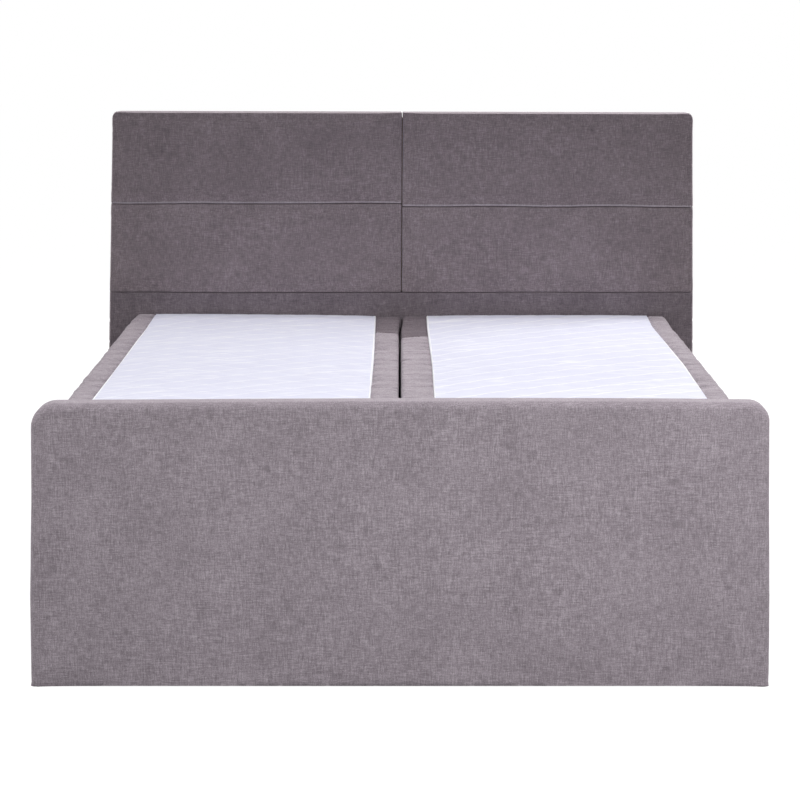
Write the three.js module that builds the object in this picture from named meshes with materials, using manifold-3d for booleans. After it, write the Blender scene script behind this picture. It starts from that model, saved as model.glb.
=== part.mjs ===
import * as THREE from 'three';
import { mergeVertices } from 'three/addons/utils/BufferGeometryUtils.js';
import Module from 'manifold-3d';

const wasm = await Module();
wasm.setup();

// Upholstered double divan bed. Millimetres, +Z up, +Y from the footboard to the headboard.
// The origin is on the floor under the middle of the bed.

// Clearances
const seatGap = 0.3; // between a piece and what it rests on or is fixed to
const softGap = 1; // between upholstered pieces side by side
const overrun = 30; // how far a cutter runs past the face that it opens

// The two halves of the lying surface, side by side
const singleWidth = 896;
const singleLength = 2000;
const singleGap = 8;
const bracketSheet = 4;
const boardGap = bracketSheet + 2 * softGap;
const lyingWidth = 2 * singleWidth + singleGap;

// Divan bases
const footHeight = 50;
const baseHeight = 350;
const baseCornerRadius = 16;
const baseTopEdgeRadius = 14;
const baseBottomEdgeRadius = 3;
const baseSkin = 6;
const baseTopSkin = 10;
const baseLip = 3;
const baseLipWidth = 45;
const dustCoverSheet = 1.5;
const dustCoverInset = 9;
const railWidth = 25;
const railHeight = 150;
const deckThickness = 18;
const slatWidth = 78;
const slatCount = 14;
const deckBatten = 40;
const baseSpringPitch = 88;

// Mattresses
const mattressHeight = 262;
const mattressCrown = 8;
const mattressCornerRadius = 34;
const mattressTopEdgeRadius = 26;
const mattressBottomEdgeRadius = 10;
const mattressSkin = 4;
const quiltThickness = 20;
const quiltProud = 1.5;
const quiltChannelPitch = 58.5;
const quiltChannelDepth = 3;
const quiltColumns = 4;
const comfortFoam = 48;
const mattressSpringPitch = 64;

// Fabric strips on the mattress tops, which differ a little as they are sewn by hand
const strips = {
  left: { outer: 78, inner: 73 },
  right: { outer: 71, inner: 88 },
};

// Footboard
const footboardOverhang = 28; // past the lying surface on each side
const footboardWidth = lyingWidth + 2 * footboardOverhang;
const footboardTop = 730;
const footboardThickness = 90;
const footboardTopRadius = 70;
const footboardBottomRadius = 20;
const footboardEdgeRadius = 20;
const footboardSkin = 12;
const footboardLining = 9;
const footboardTimberWidth = 45;
const footboardSlotInset = 80;
const footboardSlotWidth = 34;
const footboardGlideInset = 220;

// Headboard
const headboardOverhang = 70; // past the lying surface on each side
const headboardWidth = lyingWidth + 2 * headboardOverhang;
const headboardTop = 1344;
const panelRowHeight = 300;
const lowerPanelBottom = 12;
const padThickness = 50;
const padCrown = 8;
const padEdgeRadius = 14;
const padOuterCornerRadius = 15;
const padSeamCornerRadius = 8;
const padWrap = 18;
const headboardBoard = 16;
const headboardPostWidth = 60;
const headboardPostDepth = 50;
const backCloth = 2;
const backClothBottom = 22;

// Glides and feet
const glideHeight = 5;
const glideRadius = 20;
const glideNeckRadius = 10;
const footInsetX = 95;
const footInsetY = 115;
const footTopRadius = 38;
const footFlange = 4;
const footBodyRadius = 30;
const footFloorRadius = 24;

// Brackets and link plate
const bracketWidth = 60;
const bracketFoot = 80;
const bracketUpright = 72;
const studRadius = 4;
const studPast = 12;
const studHeight = 44;
const screwHoleRadius = 3;
const screwHoleSpacing = 32;
const linkLength = 150;
const linkWidth = 60;
const linkSheet = 3;
const linkInset = 260;

// Fineness of the curved surfaces
const cornerSteps = 5;
const edgeSteps = 4;
const springSteps = 2;
const roundSides = 16;
const holeSides = 12;
const leastRadius = 1;

const finishes = {
  fabric: { color: 0x8c8289, roughness: 0.95, metalness: 0 },
  quilt: { color: 0xf1f0f8, roughness: 0.85, metalness: 0 },
  lining: { color: 0x2a2a2d, roughness: 0.9, metalness: 0 },
  timber: { color: 0xd9b98a, roughness: 0.7, metalness: 0 },
  board: { color: 0xc4a274, roughness: 0.8, metalness: 0 },
  foam: { color: 0xf0e4c2, roughness: 0.9, metalness: 0 },
  spring: { color: 0xdadce0, roughness: 0.8, metalness: 0.1 },
  zinc: { color: 0xc3c7cb, roughness: 0.35, metalness: 1 },
  plastic: { color: 0x1d1d1f, roughness: 0.5, metalness: 0 },
};

// Heights and depths that follow from the sizes above
const headboardThickness = padThickness + seatGap + headboardBoard + seatGap
  + headboardPostDepth + seatGap + backCloth;
const bedLength = footboardThickness + boardGap + singleLength + boardGap + headboardThickness;
const footboardFront = -bedLength / 2;
const footboardMiddle = footboardFront + footboardThickness / 2;
const singleMiddle = footboardFront + footboardThickness + boardGap + singleLength / 2;
const headboardFront = singleMiddle + singleLength / 2 + boardGap;
const baseTop = footHeight + baseHeight;
const mattressBottom = baseTop + seatGap;
const mattressTop = mattressBottom + mattressHeight;

const halves = [
  { side: 'left', sign: -1, middle: -(singleWidth + singleGap) / 2 },
  { side: 'right', sign: 1, middle: (singleWidth + singleGap) / 2 },
];

const model = new THREE.Group();

function addPart(group, name, geometry, finish) {
  const mesh = new THREE.Mesh(geometry, new THREE.MeshStandardMaterial(finishes[finish]));
  mesh.name = name;
  group.add(mesh);
  return mesh;
}

function middleOf([low, high]) {
  return (low + high) / 2;
}

function extentOf([low, high]) {
  return high - low;
}

function spanAround(middle, size) {
  return [middle - size / 2, middle + size / 2];
}

function boxGeometry(x, y, z) {
  const box = new THREE.BoxGeometry(extentOf(x), extentOf(y), extentOf(z));
  return box.translate(middleOf(x), middleOf(y), middleOf(z));
}

function addPlank(group, name, finish, x, y, z) {
  const mesh = addPart(group, name, new THREE.BoxGeometry(extentOf(x), extentOf(y), extentOf(z)), finish);
  mesh.position.set(middleOf(x), middleOf(y), middleOf(z));
  return mesh;
}

// Booleans

function toSolid(geometry) {
  const plain = geometry.clone();
  plain.deleteAttribute('normal');
  plain.deleteAttribute('uv');
  const merged = mergeVertices(plain);
  return new wasm.Manifold(new wasm.Mesh({
    numProp: 3,
    vertProperties: Float32Array.from(merged.attributes.position.array),
    triVerts: Uint32Array.from(merged.index.array),
  }));
}

function toGeometry(solid) {
  const mesh = solid.getMesh();
  const geometry = new THREE.BufferGeometry();
  geometry.setAttribute('position', new THREE.BufferAttribute(mesh.vertProperties, 3));
  geometry.setIndex(new THREE.BufferAttribute(mesh.triVerts, 1));
  geometry.computeVertexNormals();
  return geometry;
}

function cut(body, ...cutters) {
  let solid = toSolid(body);
  for (const cutter of cutters) {
    solid = solid.subtract(toSolid(cutter));
  }
  return toGeometry(solid);
}

function join(first, ...others) {
  let solid = toSolid(first);
  for (const other of others) {
    solid = solid.add(toSolid(other));
  }
  return toGeometry(solid);
}

function sameCorners(radius) {
  return Array(4).fill(radius);
}

function toShape(loop) {
  return new THREE.Shape(loop.map(([x, y]) => new THREE.Vector2(x, y)));
}

// Rounded rectangle, anticlockwise from its right side; radii run from the corner at +x, +y
function roundedLoop(width, height, radii, inset) {
  const x = width / 2 - inset;
  const y = height / 2 - inset;
  const corners = [[x, y], [-x, y], [-x, -y], [x, -y]];
  return corners.flatMap(([cornerX, cornerY], corner) => {
    const radius = Math.max(radii[corner] - inset, leastRadius);
    const middleX = cornerX - Math.sign(cornerX) * radius;
    const middleY = cornerY - Math.sign(cornerY) * radius;
    return Array.from({ length: cornerSteps + 1 }, (_, step) => {
      const angle = (corner + step / cornerSteps) * Math.PI / 2;
      return [middleX + radius * Math.cos(angle), middleY + radius * Math.sin(angle)];
    });
  });
}

// A soft block: rounded rectangles stacked along Z, each ring with its inset and its level
function stackedBlock(width, height, radii, rings) {
  const loops = rings.map(({ inset }) => roundedLoop(width, height, radii, inset));
  const count = loops[0].length;
  const points = loops.flatMap((loop, ring) => loop.flatMap(([x, y]) => [x, y, rings[ring].level]));
  const faces = [];
  for (let ring = 0; ring + 1 < rings.length; ring += 1) {
    for (let i = 0; i < count; i += 1) {
      const next = (i + 1) % count;
      const low = ring * count;
      const high = low + count;
      faces.push(low + i, low + next, high + next, low + i, high + next, high + i);
    }
  }
  const bottom = points.length / 3;
  const top = bottom + 1;
  points.push(0, 0, rings[0].level, 0, 0, rings[rings.length - 1].level);
  for (let i = 0; i < count; i += 1) {
    const next = (i + 1) % count;
    const last = (rings.length - 1) * count;
    faces.push(bottom, next, i, top, last + i, last + next);
  }
  const geometry = new THREE.BufferGeometry();
  geometry.setAttribute('position', new THREE.Float32BufferAttribute(points, 3));
  geometry.setIndex(faces);
  geometry.computeVertexNormals();
  return geometry;
}

// Rings of a quarter-round edge; towards is 1 for an edge that rounds upwards, -1 downwards
function edgeRings(level, radius, towards) {
  const rings = Array.from({ length: edgeSteps + 1 }, (_, step) => {
    const angle = step / edgeSteps * Math.PI / 2;
    return {
      inset: radius * (1 - Math.cos(angle)),
      level: level - towards * radius * (1 - Math.sin(angle)),
    };
  });
  return towards > 0 ? rings : rings.reverse();
}

function cylinderAlongY(radius, y, sides) {
  const cylinder = new THREE.CylinderGeometry(radius, radius, extentOf(y), sides);
  return cylinder.translate(0, middleOf(y), 0);
}

function cylinderAlongZ(radius, z, sides) {
  const cylinder = new THREE.CylinderGeometry(radius, radius, extentOf(z), sides).rotateX(Math.PI / 2);
  return cylinder.translate(0, 0, middleOf(z));
}

// Springs side by side, drawn as one block whose outline bulges round each outer spring
function springBlock(width, length, height, pitch) {
  const bulge = Math.PI / 3;
  const across = Math.round(width / pitch);
  const along = Math.round(length / pitch);
  const pitchX = width / (across - 1 + 1 / Math.sin(bulge));
  const pitchY = length / (along - 1 + 1 / Math.sin(bulge));
  const radiusX = pitchX / 2 / Math.sin(bulge);
  const radiusY = pitchY / 2 / Math.sin(bulge);
  const edges = [
    { count: across, x: -1, y: -1, stepX: 1, stepY: 0, facing: -Math.PI / 2 },
    { count: along, x: 1, y: -1, stepX: 0, stepY: 1, facing: 0 },
    { count: across, x: 1, y: 1, stepX: -1, stepY: 0, facing: Math.PI / 2 },
    { count: along, x: -1, y: 1, stepX: 0, stepY: -1, facing: Math.PI },
  ];
  const outline = [];
  for (const edge of edges) {
    for (let i = 0; i + 1 < edge.count; i += 1) {
      const middleX = edge.x * (width / 2 - radiusX) + edge.stepX * i * pitchX;
      const middleY = edge.y * (length / 2 - radiusY) + edge.stepY * i * pitchY;
      const start = i === 0 ? edge.facing - Math.PI / 2 - bulge : edge.facing - bulge;
      const end = edge.facing + bulge;
      const steps = i === 0 ? cornerSteps : springSteps;
      for (let step = 1; step <= steps; step += 1) {
        const angle = start + (end - start) * step / steps;
        outline.push([middleX + radiusX * Math.cos(angle), middleY + radiusY * Math.sin(angle)]);
      }
    }
  }
  return new THREE.ExtrudeGeometry(toShape(outline), { depth: height, bevelEnabled: false });
}

// Divan base: rails, slatted deck, spring unit, padded cover, dust cover and feet

const dustCoverBottom = footHeight + seatGap;
const coverBottom = dustCoverBottom + dustCoverSheet + seatGap;
const railBottom = coverBottom + baseLip + seatGap;
const railTop = railBottom + railHeight;
const deckBottom = railTop + seatGap;
const deckTop = deckBottom + deckThickness;
const baseInnerWidth = singleWidth - 2 * (baseSkin + seatGap);
const baseInnerLength = singleLength - 2 * (baseSkin + seatGap);

function baseCoverGeometry() {
  const outer = stackedBlock(singleWidth, singleLength, sameCorners(baseCornerRadius), [
    ...edgeRings(coverBottom, baseBottomEdgeRadius, -1),
    ...edgeRings(baseTop, baseTopEdgeRadius, 1),
  ]);
  const cavity = boxGeometry(
    spanAround(0, singleWidth - 2 * baseSkin),
    spanAround(0, singleLength - 2 * baseSkin),
    [coverBottom + baseLip, baseTop - baseTopSkin],
  );
  const mouth = boxGeometry(
    spanAround(0, singleWidth - 2 * baseLipWidth),
    spanAround(0, singleLength - 2 * baseLipWidth),
    [coverBottom - overrun, coverBottom + baseLip + overrun],
  );
  return cut(outer, cavity, mouth);
}

function deckGeometry() {
  const panel = toShape(roundedLoop(baseInnerWidth, baseInnerLength, sameCorners(leastRadius), 0));
  const slotX = baseInnerWidth / 2 - deckBatten;
  const slotLength = (baseInnerLength - slatCount * slatWidth) / (slatCount - 1);
  for (let slot = 0; slot + 1 < slatCount; slot += 1) {
    const near = -baseInnerLength / 2 + slatWidth + slot * (slatWidth + slotLength);
    const far = near + slotLength;
    panel.holes.push(new THREE.Path([
      new THREE.Vector2(-slotX, near),
      new THREE.Vector2(-slotX, far),
      new THREE.Vector2(slotX, far),
      new THREE.Vector2(slotX, near),
    ]));
  }
  return new THREE.ExtrudeGeometry(panel, { depth: deckThickness, bevelEnabled: false });
}

function footGeometry() {
  return new THREE.LatheGeometry([
    new THREE.Vector2(0, 0),
    new THREE.Vector2(footFloorRadius, 0),
    new THREE.Vector2(footBodyRadius, footHeight - 2 * footFlange),
    new THREE.Vector2(footTopRadius, footHeight - footFlange),
    new THREE.Vector2(footTopRadius, footHeight),
    new THREE.Vector2(0, footHeight),
  ], roundSides).rotateX(Math.PI / 2);
}

function buildBase({ side, middle }) {
  const base = new THREE.Group();
  base.position.set(middle, singleMiddle, 0);
  const railX = baseInnerWidth / 2 - railWidth / 2;
  const endY = baseInnerLength / 2 - railWidth / 2;
  const railZ = [railBottom, railTop];
  for (const [name, sign] of [['left', -1], ['right', 1]]) {
    addPlank(base, `base_${side}_rail_${name}`, 'timber',
      spanAround(sign * railX, railWidth), spanAround(0, baseInnerLength), railZ);
  }
  for (const [name, sign] of [['foot', -1], ['head', 1]]) {
    addPlank(base, `base_${side}_rail_${name}`, 'timber',
      spanAround(0, baseInnerWidth - 2 * (railWidth + seatGap)), spanAround(sign * endY, railWidth), railZ);
  }
  addPart(base, `base_${side}_deck`, deckGeometry(), 'timber').position.z = deckBottom;
  const springs = springBlock(baseInnerWidth, baseInnerLength,
    baseTop - baseTopSkin - 2 * seatGap - deckTop, baseSpringPitch);
  addPart(base, `base_${side}_springs`, springs, 'spring').position.z = deckTop + seatGap;
  addPart(base, `base_${side}_cover`, baseCoverGeometry(), 'fabric');
  addPlank(base, `base_${side}_dust_cover`, 'lining',
    spanAround(0, singleWidth - 2 * dustCoverInset), spanAround(0, singleLength - 2 * dustCoverInset),
    [dustCoverBottom, dustCoverBottom + dustCoverSheet]);
  for (const [nameX, signX] of [['left', -1], ['right', 1]]) {
    for (const [nameY, signY] of [['foot', -1], ['head', 1]]) {
      const foot = addPart(base, `base_${side}_foot_${nameY}_${nameX}`, footGeometry(), 'plastic');
      foot.position.set(signX * (singleWidth / 2 - footInsetX), signY * (singleLength / 2 - footInsetY), 0);
    }
  }
  return base;
}

// Mattress: sewn case with the fabric strips, quilted panel, comfort foam and pocket springs

const quiltBottom = mattressTop - quiltThickness;
const coreWidth = singleWidth - 2 * (mattressSkin + seatGap);
const coreLength = singleLength - 2 * (mattressSkin + seatGap);
const coreCornerRadius = mattressCornerRadius - mattressSkin;
const coreTopEdgeRadius = mattressTopEdgeRadius - mattressSkin;
const foamTop = quiltBottom - seatGap;
const foamBottom = foamTop - comfortFoam;
const coreBottom = mattressBottom + mattressSkin + seatGap;

// How far the rolled top edge has dropped at a distance in from the side, or come in at a depth below the top
function rolledEdge(distance) {
  const toFlat = Math.max(mattressTopEdgeRadius - distance, 0);
  return mattressTopEdgeRadius - Math.sqrt(mattressTopEdgeRadius ** 2 - toFlat ** 2);
}

function quiltSpan(side, clearance) {
  const { outer, inner } = strips[side];
  const [lowStrip, highStrip] = side === 'left' ? [outer, inner] : [inner, outer];
  return [-singleWidth / 2 + lowStrip + clearance, singleWidth / 2 - highStrip - clearance];
}

function mattressCaseGeometry(side) {
  const outer = stackedBlock(singleWidth, singleLength, sameCorners(mattressCornerRadius), [
    ...edgeRings(mattressBottom, mattressBottomEdgeRadius, -1),
    ...edgeRings(mattressTop, mattressTopEdgeRadius, 1),
  ]);
  const cavity = stackedBlock(
    singleWidth - 2 * mattressSkin,
    singleLength - 2 * mattressSkin,
    sameCorners(coreCornerRadius),
    [
      { inset: 0, level: mattressBottom + mattressSkin },
      ...edgeRings(quiltBottom, coreTopEdgeRadius, 1),
    ],
  );
  const mouth = boxGeometry(
    quiltSpan(side, 0),
    spanAround(0, singleLength + 2 * overrun),
    [quiltBottom, mattressTop + overrun],
  );
  return cut(outer, cavity, mouth);
}

function quiltLevel(across, end, along) {
  const spread = Math.min(end / quiltChannelPitch, 1);
  const crown = mattressCrown * (1 - across ** 4) * spread;
  const channel = quiltChannelDepth * spread * (1 - Math.cos(2 * Math.PI * along / quiltChannelPitch)) / 2;
  return mattressTop + quiltProud - rolledEdge(end) + crown - channel;
}

// The quilted panel: a sheet with a crown, channels sewn across it and ends rolled over
function quiltGeometry(side) {
  const span = quiltSpan(side, softGap / 2);
  const width = extentOf(span);
  const endLength = singleLength / 2 - rolledEdge(quiltThickness);
  const rollShares = [0, 0.12, 0.35, 0.65];
  const rollLength = endLength - (singleLength / 2 - mattressTopEdgeRadius);
  const channels = 2 * Math.floor((singleLength / 2 - mattressTopEdgeRadius) / quiltChannelPitch);
  const inner = Array.from({ length: 2 * channels + 1 }, (_, i) => (i - channels) * quiltChannelPitch / 2);
  const rows = [
    ...rollShares.map((share) => -endLength + share * rollLength),
    ...inner,
    ...rollShares.map((share) => endLength - share * rollLength).reverse(),
  ];
  const points = [];
  for (const y of rows) {
    for (let column = 0; column <= quiltColumns; column += 1) {
      const across = 2 * column / quiltColumns - 1;
      const level = quiltLevel(across, singleLength / 2 - Math.abs(y), y);
      points.push(middleOf(span) + across * width / 2, y, level);
    }
  }
  const under = points.length / 3;
  for (let i = 0; i < under; i += 1) {
    points.push(points[3 * i], points[3 * i + 1], quiltBottom);
  }
  return sheetGeometry(points, quiltColumns + 1, rows.length);
}

// A closed sheet from a grid of top points followed by as many points underneath
function sheetGeometry(points, columnCount, rowCount) {
  const under = columnCount * rowCount;
  const faces = [];
  const quad = (a, b, c, d) => faces.push(a, b, c, a, c, d);
  for (let row = 0; row + 1 < rowCount; row += 1) {
    for (let column = 0; column + 1 < columnCount; column += 1) {
      const a = row * columnCount + column;
      const d = a + columnCount;
      quad(a, a + 1, d + 1, d);
      quad(under + a, under + d, under + d + 1, under + a + 1);
    }
  }
  for (let row = 0; row + 1 < rowCount; row += 1) {
    const left = row * columnCount;
    const right = left + columnCount - 1;
    quad(left, left + columnCount, under + left + columnCount, under + left);
    quad(right, under + right, under + right + columnCount, right + columnCount);
  }
  for (let column = 0; column + 1 < columnCount; column += 1) {
    const near = column;
    const far = (rowCount - 1) * columnCount + column;
    quad(near, under + near, under + near + 1, near + 1);
    quad(far, far + 1, under + far + 1, under + far);
  }
  const geometry = new THREE.BufferGeometry();
  geometry.setAttribute('position', new THREE.Float32BufferAttribute(points, 3));
  geometry.setIndex(faces);
  geometry.computeVertexNormals();
  return geometry;
}

function foamGeometry() {
  return stackedBlock(coreWidth, coreLength, sameCorners(coreCornerRadius), [
    { inset: 0, level: foamBottom },
    ...edgeRings(foamTop, coreTopEdgeRadius, 1),
  ]);
}

function buildMattress({ side, middle }) {
  const mattress = new THREE.Group();
  mattress.position.set(middle, singleMiddle, 0);
  addPart(mattress, `mattress_${side}_case`, mattressCaseGeometry(side), 'fabric');
  addPart(mattress, `mattress_${side}_quilt`, quiltGeometry(side), 'quilt');
  addPart(mattress, `mattress_${side}_comfort_foam`, foamGeometry(), 'foam');
  const springs = springBlock(coreWidth, coreLength, foamBottom - seatGap - coreBottom, mattressSpringPitch);
  addPart(mattress, `mattress_${side}_pocket_springs`, springs, 'spring').position.z = coreBottom;
  return mattress;
}

// Footboard: timber uprights and rails between two boards, under one padded cover

const footboardHeight = footboardTop - glideHeight;
const footboardZ = glideHeight + footboardHeight / 2;
const footboardRadii = [footboardTopRadius, footboardTopRadius, footboardBottomRadius, footboardBottomRadius];
const footboardCoreDepth = footboardThickness - 2 * footboardSkin;
const footboardTimberDepth = footboardCoreDepth - 2 * footboardLining - 4 * seatGap;
const footboardCoreWidth = footboardWidth - 2 * footboardSkin;
const footboardCoreBottom = glideHeight + footboardSkin;
const footboardCoreTop = footboardTop - footboardSkin;
const footboardStudSpan = [footboardMiddle, footboardMiddle + footboardThickness / 2 + overrun];

function uprightExtrusion(loop, depth, middle) {
  const slab = new THREE.ExtrudeGeometry(toShape(loop), { depth, bevelEnabled: false });
  return slab.rotateX(Math.PI / 2).translate(0, middle + depth / 2, footboardZ);
}

function studHoles(y) {
  return halves.map(({ middle }) => cylinderAlongY(studRadius + seatGap, y, holeSides)
    .translate(middle, 0, footHeight + studHeight));
}

function footboardCoverGeometry() {
  const outer = stackedBlock(footboardWidth, footboardHeight, footboardRadii, [
    ...edgeRings(-footboardThickness / 2, footboardEdgeRadius, -1),
    ...edgeRings(footboardThickness / 2, footboardEdgeRadius, 1),
  ]).rotateX(Math.PI / 2).translate(0, footboardMiddle, footboardZ);
  const loop = roundedLoop(footboardWidth, footboardHeight, footboardRadii, footboardSkin);
  const cavity = uprightExtrusion(loop, footboardCoreDepth, footboardMiddle);
  const slot = boxGeometry(
    spanAround(0, footboardWidth - 2 * footboardSlotInset),
    spanAround(footboardMiddle, footboardSlotWidth),
    [glideHeight - overrun, footboardCoreBottom + overrun],
  );
  return cut(outer, cavity, slot, ...studHoles(footboardStudSpan));
}

function footboardLiningGeometry(sign) {
  const loop = roundedLoop(footboardWidth, footboardHeight, footboardRadii, footboardSkin + seatGap);
  const middle = footboardMiddle + sign * (footboardCoreDepth / 2 - seatGap - footboardLining / 2);
  const board = uprightExtrusion(loop, footboardLining, middle);
  return sign > 0 ? cut(board, ...studHoles(footboardStudSpan)) : board;
}

function glideGeometry(neckLength) {
  const profile = [
    new THREE.Vector2(0, 0),
    new THREE.Vector2(glideRadius, 0),
    new THREE.Vector2(glideRadius, glideHeight),
  ];
  if (neckLength > 0) {
    profile.push(
      new THREE.Vector2(glideNeckRadius, glideHeight),
      new THREE.Vector2(glideNeckRadius, glideHeight + neckLength),
    );
  }
  profile.push(new THREE.Vector2(0, glideHeight + neckLength));
  return new THREE.LatheGeometry(profile, roundSides).rotateX(Math.PI / 2);
}

function buildFootboard() {
  const footboard = new THREE.Group();
  addPart(footboard, 'footboard_cover', footboardCoverGeometry(), 'fabric');
  addPart(footboard, 'footboard_board_front', footboardLiningGeometry(-1), 'board');
  addPart(footboard, 'footboard_board_back', footboardLiningGeometry(1), 'board');
  const timberY = spanAround(footboardMiddle, footboardTimberDepth);
  const postX = footboardCoreWidth / 2 - seatGap - footboardTimberWidth / 2;
  const topCornerRoom = footboardTopRadius - footboardSkin;
  const bottomCornerRoom = footboardBottomRadius - footboardSkin;
  for (const { side, sign } of halves) {
    addPlank(footboard, `footboard_post_${side}`, 'timber',
      spanAround(sign * postX, footboardTimberWidth), timberY,
      [footboardCoreBottom + bottomCornerRoom, footboardCoreTop - topCornerRoom]);
    const glide = addPart(footboard, `footboard_glide_${side}`,
      glideGeometry(footboardSkin), 'plastic');
    glide.position.set(sign * (footboardWidth / 2 - footboardGlideInset), footboardMiddle, 0);
  }
  const topRailX = spanAround(0, footboardCoreWidth - 2 * topCornerRoom);
  addPlank(footboard, 'footboard_rail_top', 'timber', topRailX, timberY,
    [footboardCoreTop - seatGap - footboardTimberWidth, footboardCoreTop - seatGap]);
  const bottomRailX = spanAround(0, 2 * (postX - footboardTimberWidth / 2 - seatGap));
  addPlank(footboard, 'footboard_rail_bottom', 'timber', bottomRailX, timberY,
    [footboardCoreBottom + seatGap, footboardCoreBottom + seatGap + footboardTimberWidth]);
  return footboard;
}

// Headboard: three posts, three boards, five crowned pads and a cloth over the back

const headboardBack = headboardFront + headboardThickness;
const padBack = headboardFront + padThickness;
const boardFront = padBack + seatGap;
const postFront = boardFront + headboardBoard + seatGap;
const postBack = postFront + headboardPostDepth;
const headboardStudSpan = [headboardFront - overrun, postFront + overrun];
const upperSeam = headboardTop - panelRowHeight;
const lowerSeam = upperSeam - panelRowHeight;
const headboardInner = headboardWidth - 2 * (padWrap + seatGap);
const innerTop = headboardTop - padWrap - seatGap;

const panelRows = [
  { name: 'upper', z: [upperSeam + softGap / 2, headboardTop], split: true, top: true },
  { name: 'middle', z: [lowerSeam + softGap / 2, upperSeam - softGap / 2], split: true, top: false },
  { name: 'lower', z: [lowerPanelBottom, lowerSeam - softGap / 2], split: false, top: false },
];

// One pad, in a frame with its outline in X and Y and its front towards +Z, then stood up
function padGeometry(x, z, wraps) {
  const width = extentOf(x);
  const height = extentOf(z);
  const flat = padThickness - padCrown;
  const wrapDepth = headboardThickness - padThickness;
  const cornerRadius = (outer) => (outer ? padOuterCornerRadius : padSeamCornerRadius);
  const radii = [
    cornerRadius(wraps.right && wraps.top),
    cornerRadius(wraps.left && wraps.top),
    padSeamCornerRadius,
    padSeamCornerRadius,
  ];
  const crownShares = [0.2, 0.5, 0.9];
  const crownRings = crownShares.map((share) => ({
    inset: padEdgeRadius + share * (height / 2 - padEdgeRadius),
    level: flat + padCrown * (1 - (1 - share / crownShares.at(-1)) ** 2),
  }));
  const outer = stackedBlock(width, height, radii, [
    { inset: 0, level: -wrapDepth },
    ...edgeRings(flat, padEdgeRadius, 1),
    ...crownRings,
  ]);
  const wall = (wrapped) => (wrapped ? padWrap : -overrun);
  const hollow = boxGeometry(
    [-width / 2 + wall(wraps.left), width / 2 - wall(wraps.right)],
    [-height / 2 - overrun, height / 2 - wall(wraps.top)],
    [-wrapDepth - overrun, 0],
  );
  return cut(outer, hollow).rotateX(Math.PI / 2).translate(middleOf(x), padBack, middleOf(z));
}

function buildHeadboard() {
  const headboard = new THREE.Group();
  for (const row of panelRows) {
    const edge = headboardWidth / 2;
    if (row.split) {
      for (const { side, sign } of halves) {
        const x = sign < 0 ? [-edge, -softGap / 2] : [softGap / 2, edge];
        const wraps = { left: sign < 0, right: sign > 0, top: row.top };
        addPart(headboard, `headboard_pad_${row.name}_${side}`, padGeometry(x, row.z, wraps), 'fabric');
      }
    } else {
      const pad = padGeometry([-edge, edge], row.z, { left: true, right: true, top: false });
      addPart(headboard, `headboard_pad_${row.name}`, cut(pad, ...studHoles(headboardStudSpan)), 'fabric');
    }
    const boardY = [boardFront, boardFront + headboardBoard];
    const boardZ = [row.z[0] + seatGap, row.top ? innerTop : row.z[1] - seatGap];
    const board = boxGeometry(spanAround(0, headboardInner), boardY, boardZ);
    addPart(headboard, `headboard_board_${row.name}`,
      row.split ? board : cut(board, ...studHoles(headboardStudSpan)), 'board');
  }
  const postX = headboardInner / 2 - headboardPostWidth / 2;
  for (const [name, place] of [['left', -1], ['middle', 0], ['right', 1]]) {
    addPlank(headboard, `headboard_post_${name}`, 'timber', spanAround(place * postX, headboardPostWidth),
      [postFront, postBack], [glideHeight + seatGap, innerTop]);
  }
  for (const { side, sign } of halves) {
    const glide = addPart(headboard, `headboard_glide_${side}`, glideGeometry(0), 'plastic');
    glide.position.set(sign * postX, (postFront + postBack) / 2, 0);
  }
  addPlank(headboard, 'headboard_back_cloth', 'lining', spanAround(0, headboardInner),
    [postBack + seatGap, headboardBack], [backClothBottom, innerTop]);
  return headboard;
}

// Steel angle under the end of a base, with a stud into the board that it holds
function bracketGeometry(studLength) {
  const legTop = footHeight;
  const legBottom = footHeight - bracketSheet;
  const far = softGap + bracketSheet;
  const x = spanAround(0, bracketWidth);
  const flat = boxGeometry(x, [-bracketFoot, far], [legBottom, legTop]);
  const upright = boxGeometry(x, [softGap, far], [legBottom, legBottom + bracketUpright]);
  const stud = cylinderAlongY(studRadius, [far - bracketSheet / 2, far + studLength], holeSides)
    .translate(0, 0, footHeight + studHeight);
  const screwHoles = [-1, 1].map((sign) => cylinderAlongZ(screwHoleRadius,
    [legBottom - overrun, legTop + overrun], holeSides)
    .translate(sign * screwHoleSpacing / 2, -bracketFoot / 2, 0));
  return cut(join(flat, upright, stud), ...screwHoles);
}

function linkPlateGeometry() {
  const plate = boxGeometry(spanAround(0, linkLength), spanAround(0, linkWidth),
    [footHeight - linkSheet, footHeight]);
  const holes = [-1, 1].map((sign) => cylinderAlongZ(screwHoleRadius,
    [footHeight - linkSheet - overrun, footHeight + overrun], holeSides)
    .translate(sign * (linkLength / 2 - linkWidth / 2), 0, 0));
  return cut(plate, ...holes);
}

function buildFixings() {
  const fixings = new THREE.Group();
  const headStud = softGap + padThickness + seatGap + headboardBoard + studPast;
  const footStud = softGap + footboardSkin + seatGap + footboardLining + studPast;
  for (const { side, middle } of halves) {
    const head = addPart(fixings, `headboard_bracket_${side}`, bracketGeometry(headStud), 'zinc');
    head.position.set(middle, singleMiddle + singleLength / 2, 0);
    const foot = addPart(fixings, `footboard_bracket_${side}`, bracketGeometry(footStud), 'zinc');
    foot.position.set(middle, singleMiddle - singleLength / 2, 0);
    foot.rotation.z = Math.PI;
  }
  const link = addPart(fixings, 'base_link_plate', linkPlateGeometry(), 'zinc');
  link.position.y = singleMiddle - singleLength / 2 + linkInset;
  return fixings;
}

model.add(buildFootboard(), buildHeadboard(), buildFixings());
model.add(...halves.map(buildBase), ...halves.map(buildMattress));

export default model;
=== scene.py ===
import math
import bpy
import numpy as np
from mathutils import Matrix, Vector
from mathutils.kdtree import KDTree


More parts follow.
